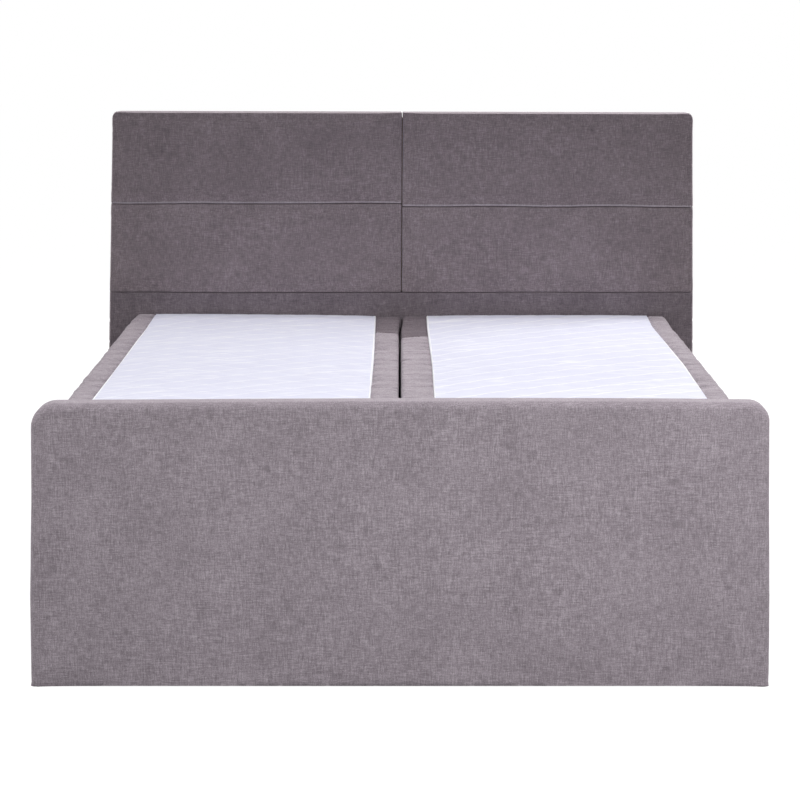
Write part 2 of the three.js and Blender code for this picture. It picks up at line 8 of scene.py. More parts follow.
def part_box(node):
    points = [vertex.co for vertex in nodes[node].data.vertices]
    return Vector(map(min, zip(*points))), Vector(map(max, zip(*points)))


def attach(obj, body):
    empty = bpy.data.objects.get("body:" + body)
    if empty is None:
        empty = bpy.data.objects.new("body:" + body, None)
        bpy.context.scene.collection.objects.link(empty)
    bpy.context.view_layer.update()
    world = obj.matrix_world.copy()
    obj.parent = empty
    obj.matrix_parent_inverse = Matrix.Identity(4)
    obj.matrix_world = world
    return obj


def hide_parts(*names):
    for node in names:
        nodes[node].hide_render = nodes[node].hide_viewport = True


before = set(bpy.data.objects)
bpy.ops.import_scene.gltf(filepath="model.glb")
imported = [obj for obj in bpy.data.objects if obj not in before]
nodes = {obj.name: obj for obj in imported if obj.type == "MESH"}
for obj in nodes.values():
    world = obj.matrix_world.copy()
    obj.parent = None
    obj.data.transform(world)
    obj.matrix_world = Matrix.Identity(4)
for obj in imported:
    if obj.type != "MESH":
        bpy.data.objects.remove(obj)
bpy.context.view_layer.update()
scene = bpy.context.scene
mm = 0.001
print("frame loaded:", len(nodes), "nodes")


# Small tools for selecting and shaping

def leaveEditMode():
    if bpy.context.object and bpy.context.object.mode != "OBJECT":
        bpy.ops.object.mode_set(mode="OBJECT")


def selectNothing():
    leaveEditMode()
    bpy.ops.object.select_all(action="DESELECT")


def makeActive(piece):
    selectNothing()
    piece.select_set(True)
    bpy.context.view_layer.objects.active = piece


def editMesh(piece, kind, action):  # kind: EDGE or FACE; action: SELECT or DESELECT, for all of them
    makeActive(piece)
    bpy.ops.object.mode_set(mode="EDIT")
    bpy.ops.mesh.select_mode(type=kind)
    bpy.ops.mesh.select_all(action=action)


def applyPlace():
    bpy.ops.object.transform_apply(location=True, rotation=True, scale=True)


def faceOutwards():  # the last step in edit mode
    bpy.ops.mesh.select_all(action="SELECT")
    bpy.ops.mesh.normals_make_consistent(inside=False)
    leaveEditMode()


def nameNew(name):
    piece = bpy.context.object
    piece.name = name
    piece.data.name = name
    return piece


def addBlock(name, low, high):
    selectNothing()
    low, high = Vector(low), Vector(high)
    bpy.ops.mesh.primitive_cube_add(size=1, location=(low + high) / 2, scale=high - low)
    piece = nameNew(name)
    applyPlace()
    return piece


def selectEdges(piece, wanted):  # wanted gets the two ends of an edge
    editMesh(piece, "EDGE", "DESELECT")
    leaveEditMode()
    points = piece.data.vertices
    for edge in piece.data.edges:
        a, b = edge.vertices
        edge.select = wanted(points[a].co, points[b].co)
    bpy.ops.object.mode_set(mode="EDIT")


def roundEdges(piece, wanted, radius, segments):
    selectEdges(piece, wanted)
    bpy.ops.mesh.bevel(offset=radius, segments=segments, affect="EDGES", clamp_overlap=True)
    leaveEditMode()


def applyModifier(piece, kind, **settings):
    modifier = piece.modifiers.new(kind, kind)
    for name, value in settings.items():
        setattr(modifier, name, value)
    makeActive(piece)
    bpy.ops.object.modifier_apply(modifier=modifier.name)


def cutAway(piece, *cutters):
    for cutter in cutters:
        applyModifier(piece, "BOOLEAN", operation="DIFFERENCE", solver="MANIFOLD", object=cutter)
        bpy.data.objects.remove(cutter)


def readPoints(piece):
    points = np.empty(len(piece.data.vertices) * 3)
    piece.data.vertices.foreach_get("co", points)
    return points.reshape(-1, 3)


def writePoints(piece, points):
    piece.data.vertices.foreach_set("co", np.ascontiguousarray(points).ravel())
    piece.data.update()


def copyPiece(piece, name, mirrorX=False, shift=(0, 0, 0)):
    made = piece.copy()
    made.data = piece.data.copy()
    made.name = name
    made.data.name = name
    scene.collection.objects.link(made)
    points = readPoints(made)
    if mirrorX:
        points[:, 0] *= -1
    writePoints(made, points + np.array(shift))
    if mirrorX:
        makeActive(made)
        bpy.ops.object.mode_set(mode="EDIT")
        bpy.ops.mesh.select_all(action="SELECT")
        bpy.ops.mesh.flip_normals()
        leaveEditMode()
    return made


def smoothBy(piece, degrees):
    makeActive(piece)
    bpy.ops.object.shade_smooth_by_angle(angle=math.radians(degrees))


def waviness(points, size, seed):  # a soft random field of about -1 to 1 with hills of that size
    random = np.random.default_rng(seed)
    total = np.zeros(len(points))
    waves = 9
    for _ in range(waves):
        direction = random.normal(size=3)
        direction /= np.linalg.norm(direction)
        length = size * random.uniform(0.7, 1.6)
        total += np.sin(points @ direction * (2 * math.pi / length) + random.uniform(0, 2 * math.pi))
    return total / math.sqrt(waves)


def smoothStep(value):
    value = np.clip(value, 0, 1)
    return value * value * (3 - 2 * value)


cloth = {
    "spacing": 24 * mm,
    "pressure": 4,
    "quality": 4,
    "frames": 20,
    "neighbours": 5,  # points of the simulated cloth that each point of the piece follows
}


def inflate(piece, cap, held):  # cloth blown up from inside, each point moved by cap at most
    # The cloth is simulated on a coarser copy, and the piece's own points follow the nearest of its points
    coarse = copyPiece(piece, "coarseCloth")
    applyModifier(coarse, "REMESH", mode="VOXEL", voxel_size=cloth["spacing"])
    rest = readPoints(coarse)
    modifier = coarse.modifiers.new("Cloth", "CLOTH")
    modifier.settings.quality = cloth["quality"]
    modifier.settings.use_pressure = True
    modifier.settings.uniform_pressure_force = cloth["pressure"]
    modifier.settings.effector_weights.gravity = 0
    modifier.collision_settings.use_collision = False
    group = coarse.vertex_groups.new(name="held")
    group.add([int(i) for i in np.nonzero(held(rest))[0]], 1, "REPLACE")
    modifier.settings.vertex_group_mass = "held"
    for frameNumber in range(1, cloth["frames"] + 1):
        scene.frame_set(frameNumber)
    makeActive(coarse)
    bpy.ops.object.modifier_apply(modifier=modifier.name)
    scene.frame_set(1)
    moved = readPoints(coarse) - rest
    tree = KDTree(len(rest))
    for index, point in enumerate(rest):
        tree.insert(point, index)
    tree.balance()
    points = readPoints(piece)
    follow = np.zeros_like(points)
    for index, point in enumerate(points):
        found = tree.find_n(point, cloth["neighbours"])
        weights = np.array([1 / (distance + 1 * mm) for _, _, distance in found])
        follow[index] = weights @ moved[[place for _, place, _ in found]] / weights.sum()
    bpy.data.objects.remove(coarse, do_unlink=True)
    length = np.maximum(np.linalg.norm(follow, axis=1), 1e-9)[:, None]
    writePoints(piece, points + follow * cap * np.tanh(length / cap) / length)
    print(piece.name, "blown up by", round(float(length.max()), 4), "m before the cap")


def finishPiece(piece, body, material, replaced):
    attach(piece, body)
    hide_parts(replaced)
    piece.data.materials.clear()
    piece.data.materials.append(material)


# Materials

def toLinear(hexColour):
    channels = [int(hexColour[i:i + 2], 16) / 255 for i in (0, 2, 4)]
    return (*[c / 12.92 if c <= 0.04045 else ((c + 0.055) / 1.055) ** 2.4 for c in channels], 1)


def addNode(tree, kind, inputs=None, **settings):
    node = tree.nodes.new("ShaderNode" + kind)
    for name, value in settings.items():
        setattr(node, name, value)
    for name, value in (inputs or {}).items():
        if isinstance(value, bpy.types.NodeSocket):
            tree.links.new(value, node.inputs[name])
        else:
            node.inputs[name].default_value = value
    return node


def newMaterial(name, fixed):
    material = bpy.data.materials.new(name)
    material.use_nodes = True
    tree = material.node_tree
    shader = tree.nodes["Principled BSDF"]
    for socket, value in fixed.items():
        shader.inputs[socket].default_value = value
    return material, tree, shader


def patternNoise(tree, size, detail=2, roughness=0.5):  # size: the grain in metres along x, y and z
    place = addNode(tree, "TexCoord").outputs["Object"]
    scaled = addNode(tree, "Mapping", {"Vector": place, "Scale": [1 / s for s in size]})
    noise = addNode(tree, "TexNoise", {"Vector": scaled.outputs[0], "Scale": 1, "Detail": detail,
                                       "Roughness": roughness})
    return noise.outputs["Fac"]


def weighted(tree, parts):  # sum of (value - 0.5) x weight over all parts
    total = None
    for value, weight in parts:
        centred = addNode(tree, "Math", {0: value, 1: 0.5}, operation="SUBTRACT").outputs[0]
        scaled = addNode(tree, "Math", {0: centred, 1: weight}, operation="MULTIPLY").outputs[0]
        total = scaled if total is None else addNode(tree, "Math", {0: total, 1: scaled}).outputs[0]
    return total


def giveSurface(tree, shader, tone, stops, height, strength, depth):  # stops: (place, colour), dark to light
    ramp = addNode(tree, "ValToRGB", {"Fac": tone})
    elements = ramp.color_ramp.elements
    for element, (place, colour) in zip(elements, (stops[0], stops[-1])):
        element.position, element.color = place, toLinear(colour)
    for place, colour in stops[1:-1]:
        elements.new(place).color = toLinear(colour)
    tree.links.new(ramp.outputs["Color"], shader.inputs["Base Color"])
    bump = addNode(tree, "Bump", {"Height": height, "Strength": strength, "Distance": depth})
    tree.links.new(bump.outputs[0], shader.inputs["Normal"])


chenille = {
    "thread": 2.3 * mm,  # real threads are 1 mm; drawn as coarse as the picture can show
    "streak": 22 * mm,  # how far one thread keeps its tone
    "nap": 24 * mm,  # patches where the pile leans another way
    "shade": 150 * mm,
}


def mauveChenille(name, dark, middle, light, sheen):
    # Brushed polyester chenille, woven: matt, mottled by its nap, with fine streaks both ways and pale
    # grazing edges
    material, tree, shader = newMaterial(name, {
        "Roughness": 0.95, "IOR": 1.45, "Specular IOR Level": 0.25, "Sheen Weight": sheen,
        "Sheen Roughness": 0.45, "Sheen Tint": toLinear("efe4ec")})
    thread, streak = chenille["thread"], chenille["streak"]
    across = patternNoise(tree, (streak, thread, thread))
    along = patternNoise(tree, (thread, streak, thread))
    upward = patternNoise(tree, (thread, thread, streak))
    nap = patternNoise(tree, [chenille["nap"]] * 3, 3, 0.6)
    shade = patternNoise(tree, [chenille["shade"]] * 3, 2, 0.5)
    mottling = weighted(tree, [(across, 0.75), (along, 0.75), (upward, 0.8), (nap, 0.36), (shade, 0.26)])
    tone = addNode(tree, "Math", {0: mottling, 1: 0.5}).outputs[0]
    height = weighted(tree, [(across, 0.5), (along, 0.5), (upward, 0.5), (nap, 0.35)])
    giveSurface(tree, shader, tone, ((0.12, dark), (0.5, middle), (0.88, light)), height, 0.55, 1.1 * mm)
    return material


def whiteTicking():
    # Knitted polyester mattress ticking, quilted: soft bluish white with a fine rib, with a painted
    # highlight behind each sewn line and along the pulls
    material, tree, shader = newMaterial("whiteKnittedTicking", {
        "Roughness": 0.85, "IOR": 1.45, "Specular IOR Level": 0.3, "Sheen Weight": 0.1,
        "Sheen Roughness": 0.5})
    rib = patternNoise(tree, (3.2 * mm, 1.8 * mm, 3.2 * mm))
    cloud = patternNoise(tree, [60 * mm] * 3)
    # the crease attribute carries painted highlights of the sewn lines and pulls
    crease = addNode(tree, "Attribute", attribute_name="crease").outputs["Fac"]
    shading = weighted(tree, [(rib, 0.25), (cloud, 0.25), (crease, 1.0)])
    tone = addNode(tree, "Math", {0: shading, 1: 0.75}).outputs[0]
    giveSurface(tree, shader, tone, ((0.1, "d6d6ea"), (0.9, "f8f8fc")), rib, 0.25, 0.5 * mm)
    return material


def speckled(name, dark, light, size, roughness, bumpDepth, specular=0.5, metallic=0.0):
    # A plain surface whose tone drifts over grains of one size
    material, tree, shader = newMaterial(name, {
        "Roughness": roughness, "Metallic": metallic, "Specular IOR Level": specular})
    grain = patternNoise(tree, size, 4, 0.6)
    giveSurface(tree, shader, grain, ((0.3, dark), (0.7, light)), grain, 0.5, bumpDepth)
    return material


fabric = mauveChenille("mauveChenille", "6e666c", "8c838a", "aca3aa", 0.45)
# The headboard's upper pads: the same fabric with its nap turned down, and also painted darker as painted
# shade
fabricNapDownAndShade = mauveChenille("mauveChenilleNapDownAndPaintedShade", "665e63", "83787d", "a1969c", 0.36)
# The inner strips beyond their cross seams: nap lying the other way, and painted darker as painted shade
# near the headboard
fabricAgainstNapAndShade = mauveChenille("mauveChenilleAgainstNapPaintedShade", "50474d", "6a6066", "83797f", 0.1)
# The lowest headboard row, just over the mattresses: the same fabric painted darker as painted shade
fabricPaintedShade = mauveChenille("mauveChenillePaintedShadeLowRow", "5a5258", "736a70", "91868d", 0.28)
# A paler tone of the fabric: a painted highlight along the fold over the upper headboard seam
fabricFoldHighlight = mauveChenille("mauveChenilleFoldPaintedHighlight", "8b8289", "a69da4", "c0b6bd", 0.45)
ticking = whiteTicking()
spunbond = speckled("blackSpunbondLining", "161617", "2b2b2e", [2 * mm] * 3, 0.85, 0.2 * mm)
pocketCloth = speckled("whiteSpunbondPockets", "d3d5d8", "e6e8ea", [4 * mm] * 3, 0.8, 0.3 * mm)
openFoam = speckled("creamOpenCellFoam", "e6dabb", "f3ead0", [3 * mm] * 3, 0.9, 0.8 * mm, 0.2)
chipboard = speckled("rawChipboard", "9c7b52", "cdb084", [3 * mm, 3 * mm, 5 * mm], 0.75, 0.3 * mm, 0.3)
zincSteel = speckled("zincPlatedSteel", "b4b9be", "d2d6da", [7 * mm] * 3, 0.36, 0.05 * mm, 0.5, 1.0)
blackPlastic = speckled("mouldedBlackPolypropylene", "18181a", "1f1f21", [0.8 * mm] * 3, 0.48, 0.08 * mm)


def planedPine(axis):
    # Planed softwood: pale earlywood with darker latewood lines along the length, satin
    material, tree, shader = newMaterial(f"planedPineAlong{axis.upper()}", {"Roughness": 0.6, "IOR": 1.5})
    fine, broad = [5 * mm] * 3, [26 * mm] * 3
    fine["xyz".index(axis)] = 420 * mm
    broad["xyz".index(axis)] = 900 * mm
    grain = patternNoise(tree, fine, 3, 0.55)
    rings = patternNoise(tree, broad, 2, 0.5)
    tone = addNode(tree, "Math", {0: weighted(tree, [(grain, 0.9), (rings, 0.9)]), 1: 0.5}).outputs[0]
    giveSurface(tree, shader, tone, ((0.25, "b98d58"), (0.7, "e3c799")), grain, 0.4, 0.2 * mm)
    return material


pine = {axis: planedPine(axis) for axis in "xyz"}
# White binding tape round the quilt, kept lighter than the ticking: partly its own white, partly a painted
# highlight along the edge
binding = speckled("whiteBindingTapePaintedHighlight", "f4f4fa", "fbfbff", [3 * mm] * 3, 0.8, 0.2 * mm, 0.3)
print("materials ready")


# Light, floor and camera

studio = {
    "ambient": 0.1,
    "zenith": 0.8,  # extra light from straight above, fading towards the horizon
    "floorShade": 0.2,  # how much of the floor's white a shadow can take away
    "openFloor": 0.5,  # the least light on the floor away from the bed
    "floorTone": 0.35,
    "floorSize": 60,
    "cameraPlace": (0.001, -7.09, 1.739),
    "cameraPitch": 9.5,
    "lens": 109.9,
    "sensorWidth": 36,
}
lamps = {  # place, target, size, power in watts, spread in degrees: a small spread is a softbox with a grid
    "keyLeft": ((-1.1, -2.9, 2.2), (-0.75, -1.1, 0.35), (1.6, 1.0), 9.3, 80),
    "keyRight": ((1.45, -2.9, 2.2), (0.95, -1.1, 0.35), (1.6, 1.0), 14.2, 80),
    "rear": ((2.6, 1.6, 1.9), (0.3, 0.3, 0.6), (1.2, 1.0), 9.5, 90),
    "fillLeft": ((-5.5, 0.6, 2.2), (0, 0, 0.6), (3, 2), 95, 180),
    "fillRight": ((5.5, 0.6, 2.2), (0, 0, 0.6), (3, 2), 45, 180),
    "above": ((0, 1.14, 2.7), (0, 0.65, 0.67), (2.4, 0.2), 3, 80),
    "fillBack": ((0.8, 6.0, 2.4), (0, 0, 0.7), (3, 2), 110, 180),
}


def seenDirectly(tree):
    path = addNode(tree, "LightPath").outputs
    seen = addNode(tree, "Math", {0: path["Is Camera Ray"], 1: path["Is Glossy Ray"]}, operation="MAXIMUM")
    return addNode(tree, "Math", {0: seen.outputs[0], 1: path["Is Transmission Ray"]},
                   operation="MAXIMUM").outputs[0]


def buildWorld():
    world = bpy.data.worlds.new("studio")
    scene.world = world
    world.use_nodes = True
    tree = world.node_tree
    direction = addNode(tree, "TexCoord").outputs["Generated"]
    upward = addNode(tree, "SeparateXYZ", {"Vector": direction}).outputs["Z"]
    above = addNode(tree, "Math", {0: upward, 1: 0.0}, operation="MAXIMUM").outputs[0]
    fading = addNode(tree, "Math", {0: above, 1: 2.0}, operation="POWER").outputs[0]
    sky = addNode(tree, "Math", {0: fading, 1: studio["zenith"], 2: studio["ambient"]},
                  operation="MULTIPLY_ADD")
    strength = addNode(tree, "Mix", {"Factor": seenDirectly(tree), "A": sky.outputs[0], "B": 1.0})
    background = tree.nodes["Background"]
    background.inputs["Color"].default_value = (1, 1, 1, 1)
    tree.links.new(strength.outputs[0], background.inputs["Strength"])


def buildFloor():
    selectNothing()
    bpy.ops.mesh.primitive_plane_add(size=studio["floorSize"])
    floor = nameNew("studioFloor")
    material = bpy.data.materials.new("paleStudioFloor")
    material.use_nodes = True
    tree = material.node_tree
    tree.nodes.remove(tree.nodes["Principled BSDF"])
    shade = studio["floorShade"]
    glow = addNode(tree, "Emission", {"Color": (1, 1, 1, 1), "Strength": 1 - shade * studio["openFloor"]})
    shaded = addNode(tree, "BsdfDiffuse", {"Color": (shade,) * 3 + (1,)})
    seen = addNode(tree, "AddShader", {0: glow.outputs[0], 1: shaded.outputs[0]})
    plain = addNode(tree, "BsdfDiffuse", {"Color": (studio["floorTone"],) * 3 + (1,)})
    mixed = addNode(tree, "MixShader", {0: seenDirectly(tree), 1: plain.outputs[0], 2: seen.outputs[0]})
    tree.links.new(mixed.outputs[0], tree.nodes["Material Output"].inputs["Surface"])
    floor.data.materials.append(material)


def addSoftbox(name, place, target, size, power, spread):
    lamp = bpy.data.lights.new(name, "AREA")
    lamp.shape = "RECTANGLE"
    lamp.size, lamp.size_y = size
    lamp.energy = power
    lamp.spread = math.radians(spread)
    holder = bpy.data.objects.new(name, lamp)
    scene.collection.objects.link(holder)
    holder.location = place
    holder.rotation_euler = (Vector(target) - Vector(place)).to_track_quat("-Z", "Y").to_euler()


def buildCamera():
    camera = bpy.data.cameras.new("camera")
    camera.sensor_width = studio["sensorWidth"]
    camera.lens = studio["lens"]
    holder = bpy.data.objects.new("camera", camera)
    scene.collection.objects.link(holder)
    holder.location = studio["cameraPlace"]
    holder.rotation_euler = (math.radians(90 - studio["cameraPitch"]), 0, 0)
    scene.camera = holder


buildWorld()
buildFloor()
for lampName, settings in lamps.items():
    addSoftbox(lampName, *settings)
buildCamera()
scene.view_settings.view_transform = "Standard"
print("studio ready")


# Blocks built up ring by ring

def quarterRings(level, radius, upward, steps):  # (inset, level) pairs round one edge, from low to high
    rings = []
    for step in range(steps + 1):
        angle = math.pi / 2 * step / steps
        inset = radius * (1 - math.cos(angle))
        drop = radius * (1 - math.sin(angle))
        rings.append((inset, level - drop if upward else level + drop))
    return rings if upward else rings[::-1]


def subdivideStraight(piece, axis, spacing):
    leaveEditMode()
    points = piece.data.vertices
    longest = max(abs(points[edge.vertices[0]].co[axis] - points[edge.vertices[1]].co[axis])
                  for edge in piece.data.edges)
    rough = 4  # the cuts are made in two steps, because one step makes 100 at most
    selectEdges(piece, lambda a, b: abs(a[axis] - b[axis]) > longest * 0.9)
    bpy.ops.mesh.subdivide(number_cuts=rough)
    bpy.ops.mesh.subdivide(number_cuts=max(round(longest / (rough + 1) / spacing) - 1, 1))
    leaveEditMode()


def ringBlock(name, low, high, corner, rings, spacing, cornerSteps=8):
    selectNothing()
    middle = (low + high) / 2
    half = (high - low) / 2
    inset, level = rings[0]
    bpy.ops.mesh.primitive_plane_add(size=1, location=(middle.x, middle.y, level))
    piece = nameNew(name)
    piece.scale = (2 * (half.x - inset), 2 * (half.y - inset), 1)
    applyPlace()
    bpy.ops.object.mode_set(mode="EDIT")
    bpy.ops.mesh.select_all(action="SELECT")
    bpy.ops.mesh.bevel(offset=corner - inset, segments=cornerSteps, affect="VERTICES")
    bpy.ops.mesh.select_all(action="SELECT")
    bpy.ops.mesh.delete(type="ONLY_FACE")
    subdivideStraight(piece, 0, spacing)
    subdivideStraight(piece, 1, spacing)
    editMesh(piece, "EDGE", "SELECT")
    for nextInset, nextLevel in rings[1:]:
        bpy.ops.mesh.extrude_edges_move(TRANSFORM_OT_translate={"value": (0, 0, nextLevel - level)})
        bpy.ops.transform.resize(
            value=((half.x - nextInset) / (half.x - inset), (half.y - nextInset) / (half.y - inset), 1),
            center_override=(middle.x, middle.y, nextLevel))
        inset, level = nextInset, nextLevel
    bpy.ops.mesh.edge_face_add()
    bpy.ops.mesh.select_all(action="DESELECT")
    bpy.ops.mesh.select_non_manifold()
    bpy.ops.mesh.edge_face_add()
    faceOutwards()
    return piece


def uprightSlab(name, low, high, sizes, flats, backFinished):  # a ring block stood up, with its front to -Y
    edge = sizes["edge"]
    start = quarterRings(-high.y, edge, False, 5) if backFinished else [(0, -high.y)]
    wallLow, wallHigh = start[-1][1], -low.y - edge
    wall = [(0, wallLow + (wallHigh - wallLow) * share) for share in (0.25, 0.5, 0.75)]
    front = quarterRings(-low.y, edge, True, 5) + [(edge + inward, -low.y) for inward in flats]
    slab = ringBlock(name, Vector((low.x, low.z, -high.y)), Vector((high.x, high.z, -low.y)),
                     sizes["corner"], start + wall + front, sizes["spacing"], 4)
    if backFinished:
        makeActive(slab)
        largest = max(slab.data.polygons, key=lambda face: (face.center.z < -high.y + 1 * mm) * face.area)
        for face in slab.data.polygons:
            face.select = face.index == largest.index
        bpy.ops.object.mode_set(mode="EDIT")
        bpy.ops.mesh.select_mode(type="FACE")
        for inward, before in zip(flats, (0, *flats)):
            bpy.ops.mesh.inset(thickness=inward - before, depth=0)
        leaveEditMode()
    across, upward, outward = readPoints(slab).T
    writePoints(slab, np.stack([across, -outward, upward], axis=1))
    return slab


def roundTopCorner(piece, cornerX, cornerZ, side, before, after):  # its radius goes from before to after
    points = readPoints(piece)
    across = side * (points[:, 0] - cornerX) + after
    upward = points[:, 2] - cornerZ + after
    near = (across > 0) & (upward > 0)
    angle = np.arctan2(upward, across)
    cosine, sine = np.cos(angle), np.sin(angle)
    offset = after - before
    middle = offset * (cosine + sine)
    onArc = middle + np.sqrt(np.maximum(middle ** 2 - 2 * offset ** 2 + before ** 2, 0))
    straight = after / np.maximum(np.maximum(cosine, sine), 0.1)
    outline = np.where(np.minimum(cosine, sine) * straight > offset, onArc, straight)
    scale = np.where(near, after / outline, 1)
    points[:, 0] += side * across * (scale - 1)
    points[:, 2] += upward * (scale - 1)
    writePoints(piece, points)


# Footboard: one padded cover over the whole slab

footboard = {
    "spacing": 10 * mm,
    "swell": 5 * mm,
    "skin": 12 * mm,
    "radiusLeft": 62 * mm,
    "radiusRight": 47 * mm,
    "corner": 28 * mm,
    "edge": 17 * mm,
    "flats": [value * mm for value in (12, 28, 50, 78, 110, 150, 190, 230, 270, 310)],
    "below": 14 * mm,  # the slab starts lower and is flattened, so its lower edge is sharper
    "bottomMiddle": 3 * mm,
    "bottomCorner": 0.3 * mm,
    "top": 727.6 * mm,
    "topRise": 5 * mm,
    "risePlace": 0.3,  # where the top is highest, how far its arch reaches, and where it ends at the corners
    "riseReach": 1.1,
    "riseEnd": 0.94,
    "ripple": 1.1 * mm,
    "rippleSize": 0.45,
    "cornerCavity": 58 * mm,
    "slotInset": 80 * mm,
    "slotWidth": 34 * mm,
    # How far the left and right sides reach at these heights
    "heights": (0.04, 0.23, 0.33, 0.48, 0.66),
    "left": (0.937, 0.935, 0.931, 0.9245, 0.9205),
    "right": (0.939, 0.936, 0.9325, 0.9275, 0.923),
}


def alongY(a, b):
    return abs(a.x - b.x) < 1e-5 and abs(a.z - b.z) < 1e-5


def slabWithRoundCorners(name, low, high, topRadius, bottomRadius, segments):
    slab = addBlock(name, low, high)
    middle = (low[2] + high[2]) / 2
    roundEdges(slab, lambda a, b: alongY(a, b) and a.z > middle, topRadius, segments)
    roundEdges(slab, lambda a, b: alongY(a, b) and a.z < low[2] + 1e-5, bottomRadius, segments)
    return slab


def shapeFootboard(cover, low, high):
    points = readPoints(cover)
    x, y, z = points.T.copy()
    left, right = (np.interp(z, footboard["heights"], footboard[side]) for side in ("left", "right"))
    x = np.where(x < 0, x * left / -x.min(), x * right / x.max())
    arch = 1 - ((x - footboard["risePlace"]) / footboard["riseReach"]) ** 2
    rise = footboard["topRise"] * arch * (1 - np.abs(x / footboard["riseEnd"]) ** 6)
    z = low.z + (z - low.z) * (footboard["top"] - low.z + rise) / (z.max() - low.z)
    corner = np.abs(x / high.x) ** 10
    bottom = footboard["bottomMiddle"] + (footboard["bottomCorner"] - footboard["bottomMiddle"]) * corner
    z = np.maximum(z, bottom)
    faceSide = np.sign(y - (low.y + high.y) / 2)
    ripple = footboard["ripple"] * waviness(points, footboard["rippleSize"], 11)
    y += faceSide * ripple * np.clip((z - low.z) / 0.1, 0, 1)
    writePoints(cover, np.stack([x, y, z], axis=1))


def buildFootboard():
    low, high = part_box("footboard_cover")
    swell, skin, inset = footboard["swell"], footboard["skin"], footboard["slotInset"]
    start = low + Vector((swell, swell, -footboard["below"]))
    end = high - Vector((swell, swell, swell))
    cover = uprightSlab("footboardCover", start, end, footboard, footboard["flats"], True)
    cornerMade = footboard["corner"] - footboard["edge"]
    roundTopCorner(cover, start.x, end.z, -1, cornerMade, footboard["radiusLeft"])
    roundTopCorner(cover, end.x, end.z, 1, cornerMade, footboard["radiusRight"])
    inflate(cover, swell, lambda p: p[:, 2] < low.z)
    shapeFootboard(cover, low, high)
    cavity = slabWithRoundCorners("cavity", low + Vector([skin] * 3), high - Vector([skin] * 3),
                                  footboard["cornerCavity"], 8 * mm, 6)
    middle, half = (low.y + high.y) / 2, footboard["slotWidth"] / 2
    slot = addBlock("slot", (low.x + inset, middle - half, -0.05),
                    (high.x - inset, middle + half, low.z + skin + 1 * mm))
    cutAway(cover, cavity, slot)
    smoothBy(cover, 50)
    finishPiece(cover, "frame", fabric, "footboard_cover")


buildFootboard()
print("footboard made")


# Headboard: five pads on boards and posts

headboard = {
    "spacing": 9 * mm,
    "swell": 4 * mm,
    "edge": 2.2 * mm,
    "corner": 4 * mm,
    "outerRadius": 21 * mm,
    "gap": 0.5 * mm,
    "flats": [value * mm for value in (3, 6, 10, 16, 25, 40, 60, 85, 110, 135)],
    "lowerFlats": [value * mm for value in (3, 6, 10, 16, 25, 40, 60, 90, 130, 170, 210, 250, 290, 330)],
    "padThickness": 50 * mm,
    "boardEdge": 951.9 * mm,
    "boardTop": 1326 * mm,
    "rightSeamDrop": 9 * mm,  # the right upper seam sits lower than the left one
    "seamWander": 1.4 * mm,
    "lowSeamRise": 5 * mm,
    "seamWidth": 4 * mm,
    "seamTuck": (1 * mm, 2.4 * mm),  # how far the cloth is drawn in at level seams and at the upright one
    "lip": 0.8 * mm,  # the upper pads stand out a little just over their lower seam
    "seamReach": 70 * mm,  # how far above and below a seam the cloth follows it
    "seamWaves": 0.4,
    "ripple": 0.7 * mm,
    "rippleSize": 0.35,
    "topZone": 0.14,
    "topLift": 4.9 * mm,
    "topSlope": 0.03,  # the top falls a little towards the back
    "slant": 2.6 * mm,  # per metre across, growing from this height to the top
    "slantStart": 0.7,
    "seamHold": 20 * mm,  # the cloth is tacked at the seams and only swells away from them
    "widerBehind": 6 * mm,
    "fold": (2 * mm, 6 * mm),  # the painted highlight of the fold over the upper seam lies between these heights above it
    # At the lying height and at the top: left edge, middle seam and right edge
    "heights": (0.573, 1.322),
    "left": (-0.9747, -0.9484),
    "seam": (0.005, 0.0085),
    "right": (0.983, 0.9677),
}


def buildPad(name, node, wrapsLeft, wrapsRight, wrapsTop):
    low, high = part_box(node)
    swell, gap = headboard["swell"], headboard["gap"]
    start = low + Vector((swell / 2 if wrapsLeft else gap, swell, gap))
    end = high - Vector((swell / 2 if wrapsRight else gap, 0, swell / 2 if wrapsTop else gap))
    flats = headboard["lowerFlats"] if wrapsLeft and wrapsRight else headboard["flats"]
    pad = uprightSlab(name, start, end, headboard, flats, False)
    if wrapsTop:
        roundTopCorner(pad, start.x, end.z, -1, headboard["corner"], headboard["outerRadius"])
    padBack = low.y + headboard["padThickness"]
    rest = readPoints(pad)
    inflate(pad, swell, lambda p: p[:, 1] > padBack)
    moved = readPoints(pad) - rest
    # Neighbouring pads press flat against each other
    toSide = np.minimum(1 if wrapsLeft else rest[:, 0] - start.x, 1 if wrapsRight else end.x - rest[:, 0])
    toLevel = np.minimum(rest[:, 2] - start.z, 1 if wrapsTop else end.z - rest[:, 2])
    moved[:, 0] *= np.clip(toSide / headboard["seamHold"], 0, 1)
    moved[:, 2] *= np.clip(toLevel / headboard["seamHold"], 0, 1)
    points = rest + moved
    if not wrapsLeft:
        points[:, 0] = np.maximum(points[:, 0], start.x)
    if not wrapsRight:
        points[:, 0] = np.minimum(points[:, 0], end.x)
    if not wrapsTop:
        points[:, 2] = np.minimum(points[:, 2], end.z)
    points[:, 2] = np.maximum(points[:, 2], start.z)
    writePoints(pad, points)
    return pad


def seamWave(points, seam):  # how far a seam wanders up and down; seam 0 is the upper one
    return headboard["seamWander"] * waviness(points * (1, 0, 0), headboard["seamWaves"], 40 + seam)


def slantDrop(x, z, top):
    start = headboard["slantStart"]
    return headboard["slant"] * x * np.clip((z - start) / (top - start), 0, 1)


